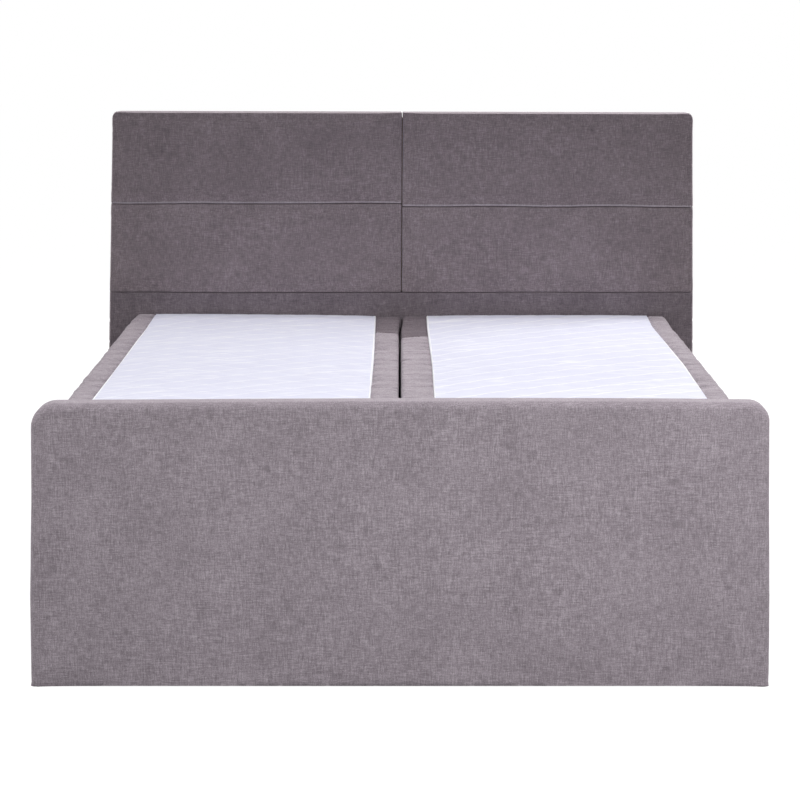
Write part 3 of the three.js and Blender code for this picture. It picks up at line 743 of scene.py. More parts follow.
def shapePad(pad, row, side, seams, edge):
    low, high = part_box("headboard_pad_lower")
    points = readPoints(pad)
    x, y, z = points.T.copy()
    padBack = low.y + headboard["padThickness"]
    front = np.clip((padBack - y) / headboard["padThickness"], 0, 1)
    y -= headboard["ripple"] * front * waviness(points, headboard["rippleSize"], 21)
    width, reach = headboard["seamWidth"], headboard["seamReach"]
    levelTuck, uprightTuck = headboard["seamTuck"]
    for seam in seams:
        y += levelTuck * front * np.exp(-((z - seam) / width) ** 2)
    if row != "lower":
        y += uprightTuck * front * np.exp(-np.abs(x) / width)
    if row == "upper":
        y -= headboard["lip"] * front * np.exp(-((z - seams[0] - 1.6 * width) / width) ** 2)
    # The seams wander a little, the same for the pads on both sides of them
    for index, seam in enumerate(seams):
        z += np.exp(-((z - seam) / reach) ** 2) * seamWave(points, index)
    z += headboard["lowSeamRise"] * np.exp(-((z - seams[1]) / reach) ** 2)
    upper = seams[0]
    drop = headboard["rightSeamDrop"] * (side == "right")
    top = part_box("headboard_pad_upper_left")[1].z
    share = np.where(z > upper, (top - z) / (top - upper), (z - seams[1]) / (upper - seams[1]))
    z -= drop * np.clip(share, 0, 1) * (row != "lower")
    z -= slantDrop(x, z, top)
    nearTop = smoothStep((z - (top - headboard["topZone"])) / headboard["topZone"])
    z += nearTop * (headboard["topLift"] - headboard["topSlope"] * (y - low.y))
    left, middle, right = (np.interp(z, headboard["heights"], headboard[place])
                           for place in ("left", "seam", "right"))
    outer = np.sign(x) * smoothStep((np.abs(x) - edge + 60 * mm) / (50 * mm))
    x = np.where(x < 0, middle + x * (middle - left) / edge, middle + x * (right - middle) / edge)
    x += headboard["widerBehind"] * (1 - front) * outer
    writePoints(pad, np.stack([x, y, z], axis=1))
    boardEdge = headboard["boardEdge"]
    hollow = addBlock("hollow", (-boardEdge if side != "right" else -0.05, padBack, low.z - 0.05),
                      (boardEdge if side != "left" else 0.05, high.y + 0.05,
                       headboard["boardTop"] if row == "upper" else top + 0.05))
    cutAway(pad, hollow)
    smoothBy(pad, 50)


def markFoldHighlight(pad, side, seam):  # a painted highlight: the front faces of the fold just over the upper seam get a paler fabric
    pad.data.materials.append(fabricFoldHighlight)
    foldLow, foldHigh = headboard["fold"]
    centres = np.array([face.center for face in pad.data.polygons])
    line = seam + seamWave(centres, 0) - headboard["rightSeamDrop"] * (side == "right")
    line -= slantDrop(centres[:, 0], line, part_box("headboard_pad_upper_left")[1].z)
    for face, height in zip(pad.data.polygons, centres[:, 2] - line):
        if foldLow < height < foldHigh and face.normal.y < -0.5:
            face.material_index = 1


def markSides(pad):  # the lowest pad's painted shade stays on its front; its sides have the same tone as those above
    pad.data.materials.append(fabricNapDownAndShade)
    for face in pad.data.polygons:
        face.material_index = int(abs(face.normal.x) > 0.5)


def buildHeadboard():
    upper = buildPad("headboardPadUpperLeft", "headboard_pad_upper_left", True, False, True)
    middle = buildPad("headboardPadMiddleLeft", "headboard_pad_middle_left", True, False, False)
    lower = buildPad("headboardPadLower", "headboard_pad_lower", True, True, False)
    made = [
        (upper, "upper", "left"),
        (copyPiece(upper, "headboardPadUpperRight", mirrorX=True), "upper", "right"),
        (middle, "middle", "left"),
        (copyPiece(middle, "headboardPadMiddleRight", mirrorX=True), "middle", "right"),
        (lower, "lower", ""),
    ]
    seams = (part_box("headboard_pad_upper_left")[0].z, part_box("headboard_pad_middle_left")[0].z)
    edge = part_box("headboard_pad_lower")[1].x
    for pad, row, side in made:
        shapePad(pad, row, side, seams, edge)
        # The lowest row gets the darker painted shade, the upper rows their turned nap with lighter painted
        # shade
        material = fabricPaintedShade if row == "lower" else fabricNapDownAndShade
        finishPiece(pad, "frame", material, f"headboard_pad_{row}_{side}".rstrip("_"))
        if row == "upper":
            markFoldHighlight(pad, side, seams[0])
        if row == "lower":
            markSides(pad)


buildHeadboard()
print("headboard made")


# Mattresses: a sewn case with the fabric strips, and the quilted panel

mattress = {
    "spacing": 5.5 * mm,
    "corner": 34 * mm,
    "topEdge": 26 * mm,
    "bottomEdge": 10 * mm,
    "skin": 10 * mm,
    "quiltThickness": 20 * mm,
    "cadSkin": 4 * mm,  # the case is thinner in the CAD
    "springPitch": 64 * mm,
    "swell": 5 * mm,
    "stripRows": 11,
    "innerSquareness": 4.8,  # exponent of the rounded top edge: 2 is a plain quarter circle
    "puckerStep": 26 * mm,
    "puckerReach": 26 * mm,  # how far puckers reach in from a seam or an outer edge
    "puckerHeight": 1.7 * mm,
    "edgePuckerStep": 19 * mm,
    "edgePuckerHeight": 2.3 * mm,
    "pullHeight": 1.2 * mm,
    "looseness": 0.7 * mm,
    "seamRoll": 4 * mm,
    "seamRollWidth": 4 * mm,
    "grooveDepth": 3 * mm,
    "grooveWidth": 4 * mm,
    "borderBulge": 1.5 * mm,
    # Towards the head the outer and inner sides draw in: where it starts and how far at the end
    "headTaper": {"left": ((0.78, 18 * mm), (0.7, -5 * mm)), "right": ((0.62, 7 * mm), (0.72, 8 * mm))},
    "rightOuterInset": 4 * mm,
    "innerOutset": {"left": 2.3 * mm, "right": 1.4 * mm},  # the two mattresses almost touch
    # Seams across the strips: place along y, and slope
    "crossSeams": {"left": {"outer": (0.90, 0.1), "inner": (0.64, -0.3)}, "right": {"inner": (0.555, 0.5)}},
    "headLiftStart": 0.73,
    "headLift": {"left": (17 * mm, 9 * mm), "right": (10 * mm, 11 * mm)},  # at the low and the high x edge
    # How far the quilt's two long edges wander: places along y and shifts in x
    "edgePlaces": (-0.62, -0.05, 0.47, 0.8, 0.97),
    "lowEdge": {"left": (-1.3 * mm, 0.5 * mm, -1.1 * mm, 1 * mm, 10 * mm),
                "right": (0, 2 * mm, -2 * mm, -4 * mm, -4 * mm)},
    "highEdge": {"left": (-1 * mm, 1.2 * mm, 0.6 * mm, -1 * mm, -1 * mm),
                 "right": (-3 * mm, 3.5 * mm, -2 * mm, -6 * mm, -5 * mm)},
}
quilting = {
    "pitch": 58.5 * mm,  # between sewn lines, measured on the photograph
    "wave": 160 * mm,
    "swing": 25 * mm,
    "through": (0.385, 0.34),  # one line rises through this point
    "relief": 3.4 * mm,
    "crown": 8 * mm,
    "crownStart": 85 * mm,  # the crown grows over this length from the foot end
    "headCrownLost": 0.7,
    "proud": 1.5 * mm,
    "column": 6 * mm,
    "row": 4 * mm,
    "paintedHighlightWidth": 4.2 * mm,
    # How strongly a sewn line's painted highlight shows, as if lit from one side: always, where it climbs to
    # the right, and where it climbs either way
    "paintedHighlightShown": {"left": (0.55, 0.1, -0.2), "right": (0.5, 0.4, 0)},
    "pullSize": 37 * mm,
    "pullStretch": 0.07,  # a pull changes this much more slowly along x than along y
    "pullWidth": 0.14,
    "pullHeight": 0.6 * mm,
    "pullTone": 0.35,
    "edgeRoll": 6 * mm,
    "sideHold": 16 * mm,  # the sewing dies out over this width along the long edges
    "binding": 5 * mm,
    "bead": 1.5 * mm,  # the sewn edge of the quilt stands up as a thin roll
    "beadWidth": 1.6 * mm,
}


def mattressPlaces(side):
    caseLow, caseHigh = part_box(f"mattress_{side}_case")
    quiltLow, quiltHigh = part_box(f"mattress_{side}_quilt")
    return caseLow, caseHigh, quiltLow, quiltHigh


def endShape(distance, squareness):  # drop of the rounded top edge at a distance from its side
    edge = mattress["topEdge"]
    share = np.clip(1 - distance / edge, 0, 1)
    return edge * (1 - (1 - share ** squareness) ** (1 / squareness))


def liftHead(points, side):
    low, high, _, _ = mattressPlaces(side)
    x, y, z = points.T
    start = mattress["headLiftStart"]
    lowLift, highLift = mattress["headLift"][side]
    across = np.clip((x - low.x) / (high.x - low.x), 0, 1)
    rise = smoothStep((y - start) / (high.y - start)) * smoothStep((z - (high.z - 0.12)) / 0.12)
    points[:, 2] += rise * (lowLift + (highLift - lowLift) * across)


def wanderEdges(points, side):
    _, _, quiltLow, quiltHigh = mattressPlaces(side)
    x, y, _ = points.T
    shift = np.zeros(len(points))
    for place, table in ((quiltLow.x, mattress["lowEdge"]), (quiltHigh.x, mattress["highEdge"])):
        shift += np.interp(y, mattress["edgePlaces"], table[side]) * np.exp(-((x - place) / (35 * mm)) ** 2)
    points[:, 0] += shift


def squareInnerEdges(points, side):  # the inner side and the head end have a tighter top edge
    low, high, _, _ = mattressPlaces(side)
    edge = mattress["topEdge"]
    middle = np.array([(low.x + high.x) / 2, (low.y + high.y) / 2])
    half = np.array([(high.x - low.x) / 2, (high.y - low.y) / 2]) - mattress["corner"]
    fromMiddle = points[:, :2] - middle
    outward = np.sign(fromMiddle) * np.maximum(np.abs(fromMiddle) - half, 0)
    outward /= np.maximum(np.linalg.norm(outward, axis=1), 1e-9)[:, None]
    inward = 1 if side == "left" else -1
    weight = np.where(outward[:, 0] * inward > 0, outward[:, 0] ** 2, 0)
    weight += np.where(outward[:, 1] > 0, outward[:, 1] ** 2, 0)
    exponent = 2 + (mattress["innerSquareness"] - 2) * np.clip(weight, 0, 1)
    rise = np.clip((points[:, 2] - (high.z - edge)) / edge, 0, 1)  # sine of the ring's angle
    flat = np.sqrt(1 - rise ** 2)
    onRing = (rise > 0) & (rise < 1 - 1e-6)
    newRise, newFlat = rise ** (2 / exponent), flat ** (2 / exponent)
    points[:, :2] += np.where(onRing, edge * (newFlat - flat), 0)[:, None] * outward
    points[:, 2] += np.where(onRing, edge * (newRise - rise), 0)


def buildCaseCutters(side):
    low, high, quiltLow, quiltHigh = mattressPlaces(side)
    skin = Vector([mattress["skin"]] * 3)
    innerTop = high.z - mattress["quiltThickness"]
    innerEdge = mattress["topEdge"] - mattress["skin"]
    core = ringBlock("core", low + skin, high - skin, mattress["corner"] - mattress["skin"],
                     [(0, low.z + mattress["skin"])] + quarterRings(innerTop, innerEdge, True, 8), 60 * mm)
    moveSides(core, side)
    mouth = addBlock("mouth", (quiltLow.x - 0.3 * mm, low.y - 0.05, innerTop - 0.1 * mm),
                     (quiltHigh.x + 0.3 * mm, high.y + 0.05, high.z + 0.05))
    return core, mouth


def strips(side):  # name, low x, high x of the two fabric strips
    low, high, quiltLow, quiltHigh = mattressPlaces(side)
    names = ("outer", "inner") if side == "left" else ("inner", "outer")
    return ((names[0], low.x, quiltLow.x), (names[1], quiltHigh.x, high.x))


def sideShift(points, side):  # how far the long sides move in x: the top edges draw in towards the head
    low, high, quiltLow, quiltHigh = mattressPlaces(side)
    x, y, z = points.T
    middle = (low.x + high.x) / 2
    outward = -1 if side == "left" else 1
    toQuilt = np.where(x < middle, quiltLow.x - x, x - quiltHigh.x)
    weight = smoothStep((z - low.z) / (high.z - low.z)) * smoothStep(toQuilt / (50 * mm))
    outer = (x - middle) * outward > 0
    shift = np.where(outer, 0, -outward * mattress["innerOutset"][side])
    tapers = zip(mattress["headTaper"][side], (outward, -outward), (outer, ~outer))
    for (start, amount), facing, here in tapers:
        shift = shift - facing * amount * smoothStep((y - start) / (high.y - start)) * here
    if side == "right":
        shift = shift - mattress["rightOuterInset"] * outer
    return shift * weight


def moveSides(piece, side):
    points = readPoints(piece)
    points[:, 0] += sideShift(points, side)
    writePoints(piece, points)


def shapeCase(case, side):
    low, high, quiltLow, quiltHigh = mattressPlaces(side)
    points = readPoints(case)
    squareInnerEdges(points, side)
    x, y, z = points.T.copy()
    middle = (low.x + high.x) / 2
    edge, reach = mattress["topEdge"], mattress["puckerReach"]
    toQuilt = np.where(x < middle, quiltLow.x - x, x - quiltHigh.x)
    toSide = np.minimum(x - low.x, high.x - x)
    onTop = smoothStep((z - (high.z - edge)) / (0.7 * edge))
    # Fine puckers where the strips are sewn to the quilt, dying out towards the sides
    drift = 1.6 * waviness(points * (0.3, 1, 0), 0.16, 31) + 7 * (x - middle)
    fade = np.exp(-np.maximum(toQuilt, 0) / reach) + 0.25
    uneven = 0.7 + 0.6 * waviness(points * (0, 1, 0), 0.07, 37)
    wave = np.sin(2 * math.pi * y / mattress["puckerStep"] + drift)
    lift = mattress["puckerHeight"] * fade * uneven * wave
    lift += mattress["looseness"] * waviness(points * (1, 1, 0), 0.13, 32)
    # Slanting pulls across the strips and short puckers along their outer edges
    slantwise = waviness(np.stack([x - 0.17 * y, 0.3 * y, 0 * x], axis=1), 38 * mm, 34)
    lift += mattress["pullHeight"] * np.exp(-(slantwise / 0.35) ** 2)
    strength = np.clip(0.6 + 0.6 * waviness(points * (0, 1, 0), 0.12, 35), 0, 1.2)
    wrinkles = waviness(np.stack([0.5 * x, y - 0.3 * x, 0 * x], axis=1), mattress["edgePuckerStep"], 36)
    lift += mattress["edgePuckerHeight"] * strength * np.exp(-toSide / reach) * wrinkles
    for name, lowX, highX in strips(side):
        if name in mattress["crossSeams"][side]:
            place, slope = mattress["crossSeams"][side][name]
            toSeam = y - place - slope * (x - (lowX + highX) / 2)
            groove = np.exp(-(toSeam / mattress["grooveWidth"]) ** 2) * ((x > lowX) & (x < highX))
            lift -= mattress["grooveDepth"] * groove
    roll = mattress["seamRoll"] * np.exp(-np.maximum(toQuilt, 0) / mattress["seamRollWidth"])
    z += onTop * (lift - roll)
    x += sideShift(points, side)
    # The border bulges a little between its seams
    wall = np.clip((z - low.z) / (high.z - edge - low.z), 0, 1)
    bulge = mattress["borderBulge"] * waviness(points, 0.2, 33) * np.sin(math.pi * wall)
    x -= np.sign(x - middle) * np.abs(bulge) * (np.abs(x - middle) > (high.x - low.x) / 2 - 20 * mm)
    writePoints(case, np.stack([x, y, z], axis=1))


def markFarStripsNapAndShade(case, side):  # beyond the cross seams the inner strips' nap lies the other way, and they also carry painted shade near the headboard
    high = mattressPlaces(side)[1]
    place, slope = mattress["crossSeams"][side]["inner"]
    lowX, highX = next((a, b) for name, a, b in strips(side) if name == "inner")
    case.data.materials.append(fabricAgainstNapAndShade)
    for face in case.data.polygons:
        centre = face.center
        if (lowX - 5 * mm < centre.x < highX + 5 * mm and centre.z > high.z - mattress["topEdge"]
                and centre.y > place + slope * (centre.x - (lowX + highX) / 2)):
            face.material_index = 1


def buildCase(side):
    low, high, quiltLow, quiltHigh = mattressPlaces(side)
    swell, top = mattress["swell"], mattress["topEdge"]
    wallLow = low.z + mattress["bottomEdge"]
    wallHigh = high.z - top
    wallRows = 16
    wall = [(swell, wallLow + (wallHigh - wallLow) * i / wallRows) for i in range(1, wallRows)]
    widest = max(quiltLow.x - low.x, high.x - quiltHigh.x)
    stripWidth = widest - top + 8 * mm
    rows = mattress["stripRows"]
    flat = [(top + stripWidth * i / rows, high.z) for i in range(1, rows + 1)]
    rings = (quarterRings(low.z, mattress["bottomEdge"], False, 4) + wall
             + quarterRings(high.z, top, True, 9) + flat)
    case = ringBlock(f"mattress{side.title()}Case", low, high, mattress["corner"], rings,
                     mattress["spacing"])
    inflate(case, swell, lambda p: (p[:, 2] < wallLow) | (p[:, 2] > wallHigh))
    shapeCase(case, side)
    cutAway(case, *buildCaseCutters(side))
    points = readPoints(case)
    liftHead(points, side)
    wanderEdges(points, side)
    writePoints(case, points)
    smoothBy(case, 50)
    finishPiece(case, f"mattress_{side}", fabric, f"mattress_{side}_case")
    markFarStripsNapAndShade(case, side)


def edgeSpaced(low, high, step, roll):  # places from low to high, drawn together at both ends
    shares = np.array([0, 0.06, 0.2, 0.42, 0.7])
    count = max(round((high - low - 2 * roll) / step), 1)
    inner = np.linspace(low + roll, high - roll, count + 1)
    return np.concatenate([low + shares * roll, inner, (high - shares * roll)[::-1]])


def waveRelief(x, y, side):  # -1 on a sewn line and up to 0 between two, and the painted highlight behind a line
    startX, startY = quilting["through"]
    phase = 2 * math.pi * (x - startX) / quilting["wave"]
    row = (y - startY) / quilting["pitch"]
    swing = quilting["swing"] / quilting["pitch"]
    always, climbing, sloping = quilting["paintedHighlightShown"][side]
    relief, crease = np.zeros_like(x), np.zeros_like(x)
    for line in range(int(np.floor(row.min())) - 2, int(np.ceil(row.max())) + 2):
        # Each sewn line is half a wave out of step with the next
        lower = line + swing * np.sin(phase + math.pi * line)
        upper = line + 1 + swing * np.sin(phase + math.pi * (line + 1))
        share = (row - lower) / (upper - lower)
        width = (upper - lower) / (1 + 2 * swing)
        puff = np.clip(4 * share * (1 - share), 0, 1) ** 0.35 * (0.45 + 0.55 * width)
        inside = (share >= 0) & (share < 1)
        relief = np.where(inside, puff, relief)
        slope = np.cos(phase + math.pi * line)
        shown = np.clip(always + climbing * slope + sloping * np.abs(slope), 0, 1)
        behind = share * (upper - lower) * quilting["pitch"] / quilting["paintedHighlightWidth"]
        crease = np.where(inside, shown * np.exp(-behind ** 2), crease)
    return relief - 1, crease


def pulls(x, y, side):  # fine level pulls in the ticking, thin lines that come and go
    seed = {"left": 71, "right": 72}[side]
    field = waviness(np.stack([quilting["pullStretch"] * x, y, 0 * x], axis=1), quilting["pullSize"], seed)
    strength = waviness(np.stack([x, y, 0 * x], axis=1), 0.22, 73)
    return np.exp(-(field / quilting["pullWidth"]) ** 2) * np.clip(0.5 + 0.5 * strength, 0, 1)


def quiltLevel(x, y, side):
    low, high, quiltLow, quiltHigh = mattressPlaces(side)
    middleX, middleY = (quiltLow.x + quiltHigh.x) / 2, (low.y + high.y) / 2
    toEnd = (high.y - low.y) / 2 - np.abs(y - middleY)
    across = (x - middleX) / ((quiltHigh.x - quiltLow.x) / 2)
    edge = mattress["topEdge"]
    headEnd = y > middleY
    endDrop = np.where(headEnd, endShape(toEnd, mattress["innerSquareness"]), endShape(toEnd, 2))
    spread = np.where(headEnd, 1, np.clip(toEnd / quilting["crownStart"], 0, 1))
    headShare = smoothStep((y - mattress["headLiftStart"]) / (high.y - mattress["headLiftStart"]))
    crown = quilting["crown"] * (1 - across ** 4) * spread * (1 - quilting["headCrownLost"] * headShare)
    toSide = np.minimum(x - quiltLow.x, quiltHigh.x - x)
    hold = smoothStep(toSide / quilting["sideHold"]) * np.clip(toEnd / edge, 0.25, 1)
    rollPart = np.maximum(quilting["edgeRoll"] - toSide, 0)
    sideDrop = quilting["edgeRoll"] - np.sqrt(np.maximum(quilting["edgeRoll"] ** 2 - rollPart ** 2, 0))
    relief = quilting["relief"] * waveRelief(x, y, side)[0] * hold
    bead = quilting["bead"] * np.exp(-((toSide - quilting["binding"] / 2) / quilting["beadWidth"]) ** 2)
    crease = quilting["pullHeight"] * pulls(x, y, side) * hold
    return high.z + quilting["proud"] - endDrop + crown + relief + crease + bead - sideDrop


def buildQuilt(side):
    _, _, quiltLow, quiltHigh = mattressPlaces(side)
    columns = edgeSpaced(quiltLow.x, quiltHigh.x, quilting["column"], quilting["edgeRoll"])
    rows = edgeSpaced(quiltLow.y, quiltHigh.y, quilting["row"], mattress["topEdge"] / 2)
    selectNothing()
    bpy.ops.mesh.primitive_grid_add(x_subdivisions=len(columns) - 1, y_subdivisions=len(rows) - 1, size=1)
    quilt = nameNew(f"mattress{side.title()}Quilt")
    points = readPoints(quilt)
    column = np.rint((points[:, 0] + 0.5) * (len(columns) - 1)).astype(int)
    row = np.rint((points[:, 1] + 0.5) * (len(rows) - 1)).astype(int)
    x, y = columns[column], rows[row]
    writePoints(quilt, np.stack([x, y, quiltLevel(x, y, side)], axis=1))
    editMesh(quilt, "EDGE", "DESELECT")
    bpy.ops.mesh.select_non_manifold()
    bpy.ops.mesh.extrude_edges_move(TRANSFORM_OT_translate={"value": (0, 0, -0.5)})
    leaveEditMode()
    points = readPoints(quilt)
    points[points[:, 2] < quiltLow.z - 0.1, 2] = quiltLow.z
    liftHead(points, side)
    wanderEdges(points, side)
    writePoints(quilt, points)
    makeActive(quilt)
    bpy.ops.object.mode_set(mode="EDIT")
    bpy.ops.mesh.edge_face_add()
    faceOutwards()
    x, y, _ = readPoints(quilt).T
    # painted highlights behind the sewn lines and along the pulls, kept for the ticking's colour
    crease = quilt.data.attributes.new("crease", "FLOAT", "POINT")
    shown = np.maximum(waveRelief(x, y, side)[1], quilting["pullTone"] * pulls(x, y, side))
    crease.data.foreach_set("value", shown.astype(np.float32))
    smoothBy(quilt, 60)
    finishPiece(quilt, f"mattress_{side}", ticking, f"mattress_{side}_quilt")
    # the edge band gets the binding tape's whiter tone, partly a painted highlight
    quilt.data.materials.append(binding)
    band = quilting["binding"]
    for face in quilt.data.polygons:
        x, y, _ = face.center
        if min(x - quiltLow.x, quiltHigh.x - x, quiltHigh.y - y) < band and len(face.vertices) == 4:
            face.material_index = 1


def buildFoam(side):
    low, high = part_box(f"mattress_{side}_comfort_foam")
    inset = mattress["skin"] - mattress["cadSkin"]
    shift = Vector((inset, inset, 0))
    edge = mattress["topEdge"] - mattress["skin"]
    halfway = low.z + (high.z - edge - low.z) / 2
    rings = [(0, low.z), (0, halfway)] + quarterRings(high.z, edge, True, 6)
    foam = ringBlock(f"mattress{side.title()}ComfortFoam", low + shift, high - shift,
                     mattress["corner"] - mattress["skin"], rings, 30 * mm)
    points = readPoints(foam)
    # The sides are drawn in a little halfway up
    drawnIn = 0.3 * mm * (np.abs(points[:, 2] - halfway) < 1 * mm)
    points[:, :2] -= drawnIn[:, None] * np.sign(points[:, :2] - (low.xy + high.xy) / 2)
    writePoints(foam, points)
    moveSides(foam, side)
    smoothBy(foam, 40)
    finishPiece(foam, f"mattress_{side}", openFoam, f"mattress_{side}_comfort_foam")


pocket = {
    "sides": 10,
    "gap": 0.3 * mm,  # between a pocket and the edge of its square
    "edge": 0.3,  # how far each end is rounded off, as a share of the radius
}


def buildSprings(name, node, inset, pitch, mattressSide=None):  # cloth pockets, drawn in at both ends
    low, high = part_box(node)
    width, length = high.x - low.x - 2 * inset, high.y - low.y - 2 * inset
    across, along = round(width / pitch), round(length / pitch)
    stepX, stepY = width / across, length / along
    radius = min(stepX, stepY) / 2 - pocket["gap"]
    selectNothing()
    height = high.z - low.z
    bpy.ops.mesh.primitive_cylinder_add(
        vertices=pocket["sides"], radius=radius, depth=height,
        location=(low.x + inset + stepX / 2, low.y + inset + stepY / 2, (low.z + high.z) / 2))
    springs = nameNew(name)
    applyPlace()
    bpy.ops.object.mode_set(mode="EDIT")
    bpy.ops.mesh.select_all(action="DESELECT")
    bpy.ops.object.mode_set(mode="OBJECT")
    for face in springs.data.polygons:
        face.select = abs(face.normal.z) > 0.9
    bpy.ops.object.mode_set(mode="EDIT")
    bpy.ops.mesh.bevel(offset=radius * pocket["edge"], segments=2, affect="EDGES")
    leaveEditMode()
    for count, step in ((across, (stepX, 0, 0)), (along, (0, stepY, 0))):
        applyModifier(springs, "ARRAY", count=count, use_relative_offset=False, use_constant_offset=True,
                      constant_offset_displace=step)
    if mattressSide:
        moveSides(springs, mattressSide)
    smoothBy(springs, 60)
    body = f"mattress_{mattressSide}" if mattressSide else "frame"
    finishPiece(springs, body, pocketCloth, node)


for side in ("left", "right"):
    buildCase(side)
    buildQuilt(side)
    buildFoam(side)
    buildSprings(f"mattress{side.title()}PocketSprings", f"mattress_{side}_pocket_springs",
                 mattress["skin"] - mattress["cadSkin"], mattress["springPitch"], side)
print("mattresses made")


# Divan bases: a padded sleeve over rails, deck and springs, a dust cover below, and moulded feet

base = {
    "corner": 16 * mm,
    "topEdge": 14 * mm,
    "bottomEdge": 3 * mm,
    "skin": 6 * mm,
    "topSkin": 10 * mm,
    "lip": 3 * mm,
    "lipWidth": 45 * mm,
    "inset": 1 * mm,
    "seamBelowTop": 30 * mm,
    "seamDepth": 2 * mm,
    "spacing": 18 * mm,
    "wallRows": 12,
    "drift": 0.9 * mm,  # how far the cloth on the walls wanders in and out
    "driftSize": 0.3,
    "sag": 3 * mm,
    "springPitch": 88 * mm,
    "clothSpacing": 40 * mm,
}


def buildBaseCover(side):
    low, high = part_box(f"base_{side}_cover")
    inset, seam = base["inset"], high.z - base["seamBelowTop"]
    wallLow = low.z + base["bottomEdge"]
    rows = base["wallRows"]
    rowsBelow = [(inset, wallLow + (seam - 8 * mm - wallLow) * i / rows) for i in range(1, rows + 1)]
    seamRings = [(inset + 0.8 * mm, seam - 3 * mm), (inset + base["seamDepth"], seam),
                 (inset + 0.6 * mm, seam + 3 * mm), (inset, seam + 7 * mm)]
    topRings = [(inward + inset, level) for inward, level in quarterRings(high.z, base["topEdge"], True, 6)]
    bottomRings = [(inward + inset, level)
                   for inward, level in quarterRings(low.z, base["bottomEdge"], False, 3)]
    flat = [(base["topEdge"] + 60 * mm * i, high.z) for i in (1, 2, 3)]
    cover = ringBlock(f"base{side.title()}Cover", low, high, base["corner"],
                      bottomRings + rowsBelow + seamRings + topRings + flat, base["spacing"])
    points = readPoints(cover)
    middle = (low + high) / 2
    fromMiddle = points[:, :2] - np.array(middle.xy)
    half = np.array((high - middle).xy)
    onWall = np.abs(fromMiddle) > half - 5 * mm
    taut = np.sin(math.pi * np.clip((points[:, 2] - low.z) / (seam - low.z), 0, 1))[:, None]
    drift = base["drift"] * waviness(points, base["driftSize"], 51)[:, None] * taut
    points[:, :2] += np.where(onWall, np.sign(fromMiddle) * drift, 0)
    writePoints(cover, points)
    cavity = addBlock("cavity", (low.x + base["skin"], low.y + base["skin"], low.z + base["lip"]),
                      (high.x - base["skin"], high.y - base["skin"], high.z - base["topSkin"]))
    mouth = addBlock("mouth", (low.x + base["lipWidth"], low.y + base["lipWidth"], low.z - 0.05),
                     (high.x - base["lipWidth"], high.y - base["lipWidth"], low.z + base["lip"] + 1 * mm))
    cutAway(cover, cavity, mouth)
    smoothBy(cover, 50)
    finishPiece(cover, "frame", fabric, f"base_{side}_cover")
    return cover


def buildStretchedCloth(name, node, thin, sag):  # thin: the axis across the cloth
    low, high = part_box(node)
    sheet = addBlock(name, low, high)
    for axis in range(3):
        if axis != thin:
            subdivideStraight(sheet, axis, base["clothSpacing"])
    points = readPoints(sheet)
    middle, half = np.array((low + high) / 2), np.array((high - low) / 2)
    share = (points - middle) / half
    others = [axis for axis in range(3) if axis != thin]
    loose = np.ones(len(points))
    for axis in others:
        loose *= np.clip(1 - np.abs(share[:, axis] / 0.8) ** 4, 0, 1)
    points[:, thin] += sag * loose * (1 + 0.3 * waviness(points, 0.3, 61))
    writePoints(sheet, points)
    smoothBy(sheet, 50)
    finishPiece(sheet, "frame", spunbond, node)


def latheAt(name, profile, place):  # profile: (radius, level) pairs from axis to axis
    selectNothing()
    mesh = bpy.data.meshes.new(name)
    edges = [(i, i + 1) for i in range(len(profile) - 1)]
    mesh.from_pydata([(radius, 0, level) for radius, level in profile], edges, [])
    piece = bpy.data.objects.new(name, mesh)
    scene.collection.objects.link(piece)
    makeActive(piece)
    bpy.ops.object.mode_set(mode="EDIT")
    bpy.ops.mesh.select_all(action="SELECT")
    bpy.ops.mesh.spin(steps=40, angle=2 * math.pi, center=(0, 0, 0), axis=(0, 0, 1))
    bpy.ops.mesh.select_all(action="SELECT")
    bpy.ops.mesh.remove_doubles(threshold=0.02 * mm)
    faceOutwards()
    writePoints(piece, readPoints(piece) + np.array(place))
    smoothBy(piece, 35)
    return piece


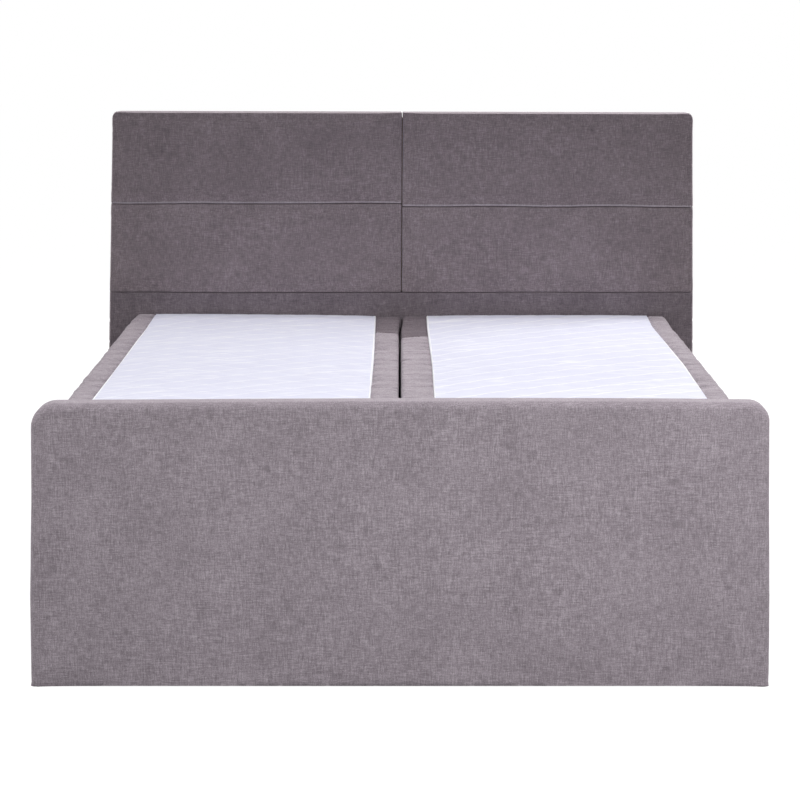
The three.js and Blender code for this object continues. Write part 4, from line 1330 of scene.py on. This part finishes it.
def buildFeet(master, nodeNames):  # one foot or glide, copied to each place
    made = None
    for name in nodeNames:
        low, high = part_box(name)
        place = Vector(((low.x + high.x) / 2, (low.y + high.y) / 2, 0))
        title = "".join(word.title() for word in name.split("_"))
        title = title[0].lower() + title[1:]
        if made is None:
            made, first = latheAt(title, master, place), place
            piece = made
        else:
            piece = copyPiece(made, title, shift=tuple(place - first))
            smoothBy(piece, 35)
        finishPiece(piece, "frame", blackPlastic, name)


footProfile = [(0, 0), (22 * mm, 0), (24 * mm, 0.8 * mm), (24.6 * mm, 3 * mm), (29.4 * mm, 39 * mm),
               (31 * mm, 42 * mm), (34 * mm, 44.6 * mm), (37 * mm, 45.6 * mm), (38 * mm, 46.6 * mm),
               (38 * mm, 49.4 * mm), (37.4 * mm, 50 * mm), (0, 50 * mm)]
glideProfile = [(0, 0), (17.5 * mm, 0), (19.3 * mm, 0.7 * mm), (20 * mm, 2.2 * mm), (20 * mm, 3.6 * mm),
                (19 * mm, 4.7 * mm), (17.5 * mm, 5 * mm)]
neckProfile = [(11 * mm, 5 * mm), (10 * mm, 6 * mm), (10 * mm, 16.4 * mm), (9.4 * mm, 17 * mm),
               (0, 17 * mm)]

for side in ("left", "right"):
    cover = buildBaseCover(side)
    buildSprings(f"base{side.title()}Springs", f"base_{side}_springs", 0, base["springPitch"])
    buildStretchedCloth(f"base{side.title()}DustCover", f"base_{side}_dust_cover", 2, -base["sag"])
buildStretchedCloth("headboardBackCloth", "headboard_back_cloth", 1, -0.8 * mm)
buildFeet(footProfile, [f"base_{side}_foot_{end}_{edge}" for side in ("left", "right")
                        for end in ("foot", "head") for edge in ("left", "right")])
buildFeet(glideProfile + neckProfile, ["footboard_glide_left", "footboard_glide_right"])
buildFeet(glideProfile + [(0, 5 * mm)], ["headboard_glide_left", "headboard_glide_right"])
print("bases made")


# Timber, board and steel keep their solids and get their finish

def grainAxis(node):
    low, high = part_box(node)
    size = high - low
    return "xyz"[max(range(3), key=lambda axis: size[axis])]


def materialFor(name):
    if "bracket" in name or "plate" in name:
        return zincSteel
    if "_board" in name:
        return chipboard
    if "deck" in name:
        return pine["x"]
    return pine[grainAxis(name)]


kept = ("bracket", "plate", "_board_", "rail", "post", "deck")
hard = [name for name in nodes if any(word in name for word in kept)]
for name in hard:
    nodes[name].data.materials.clear()
    nodes[name].data.materials.append(materialFor(name))
print("finishes given to", len(hard), "solids")
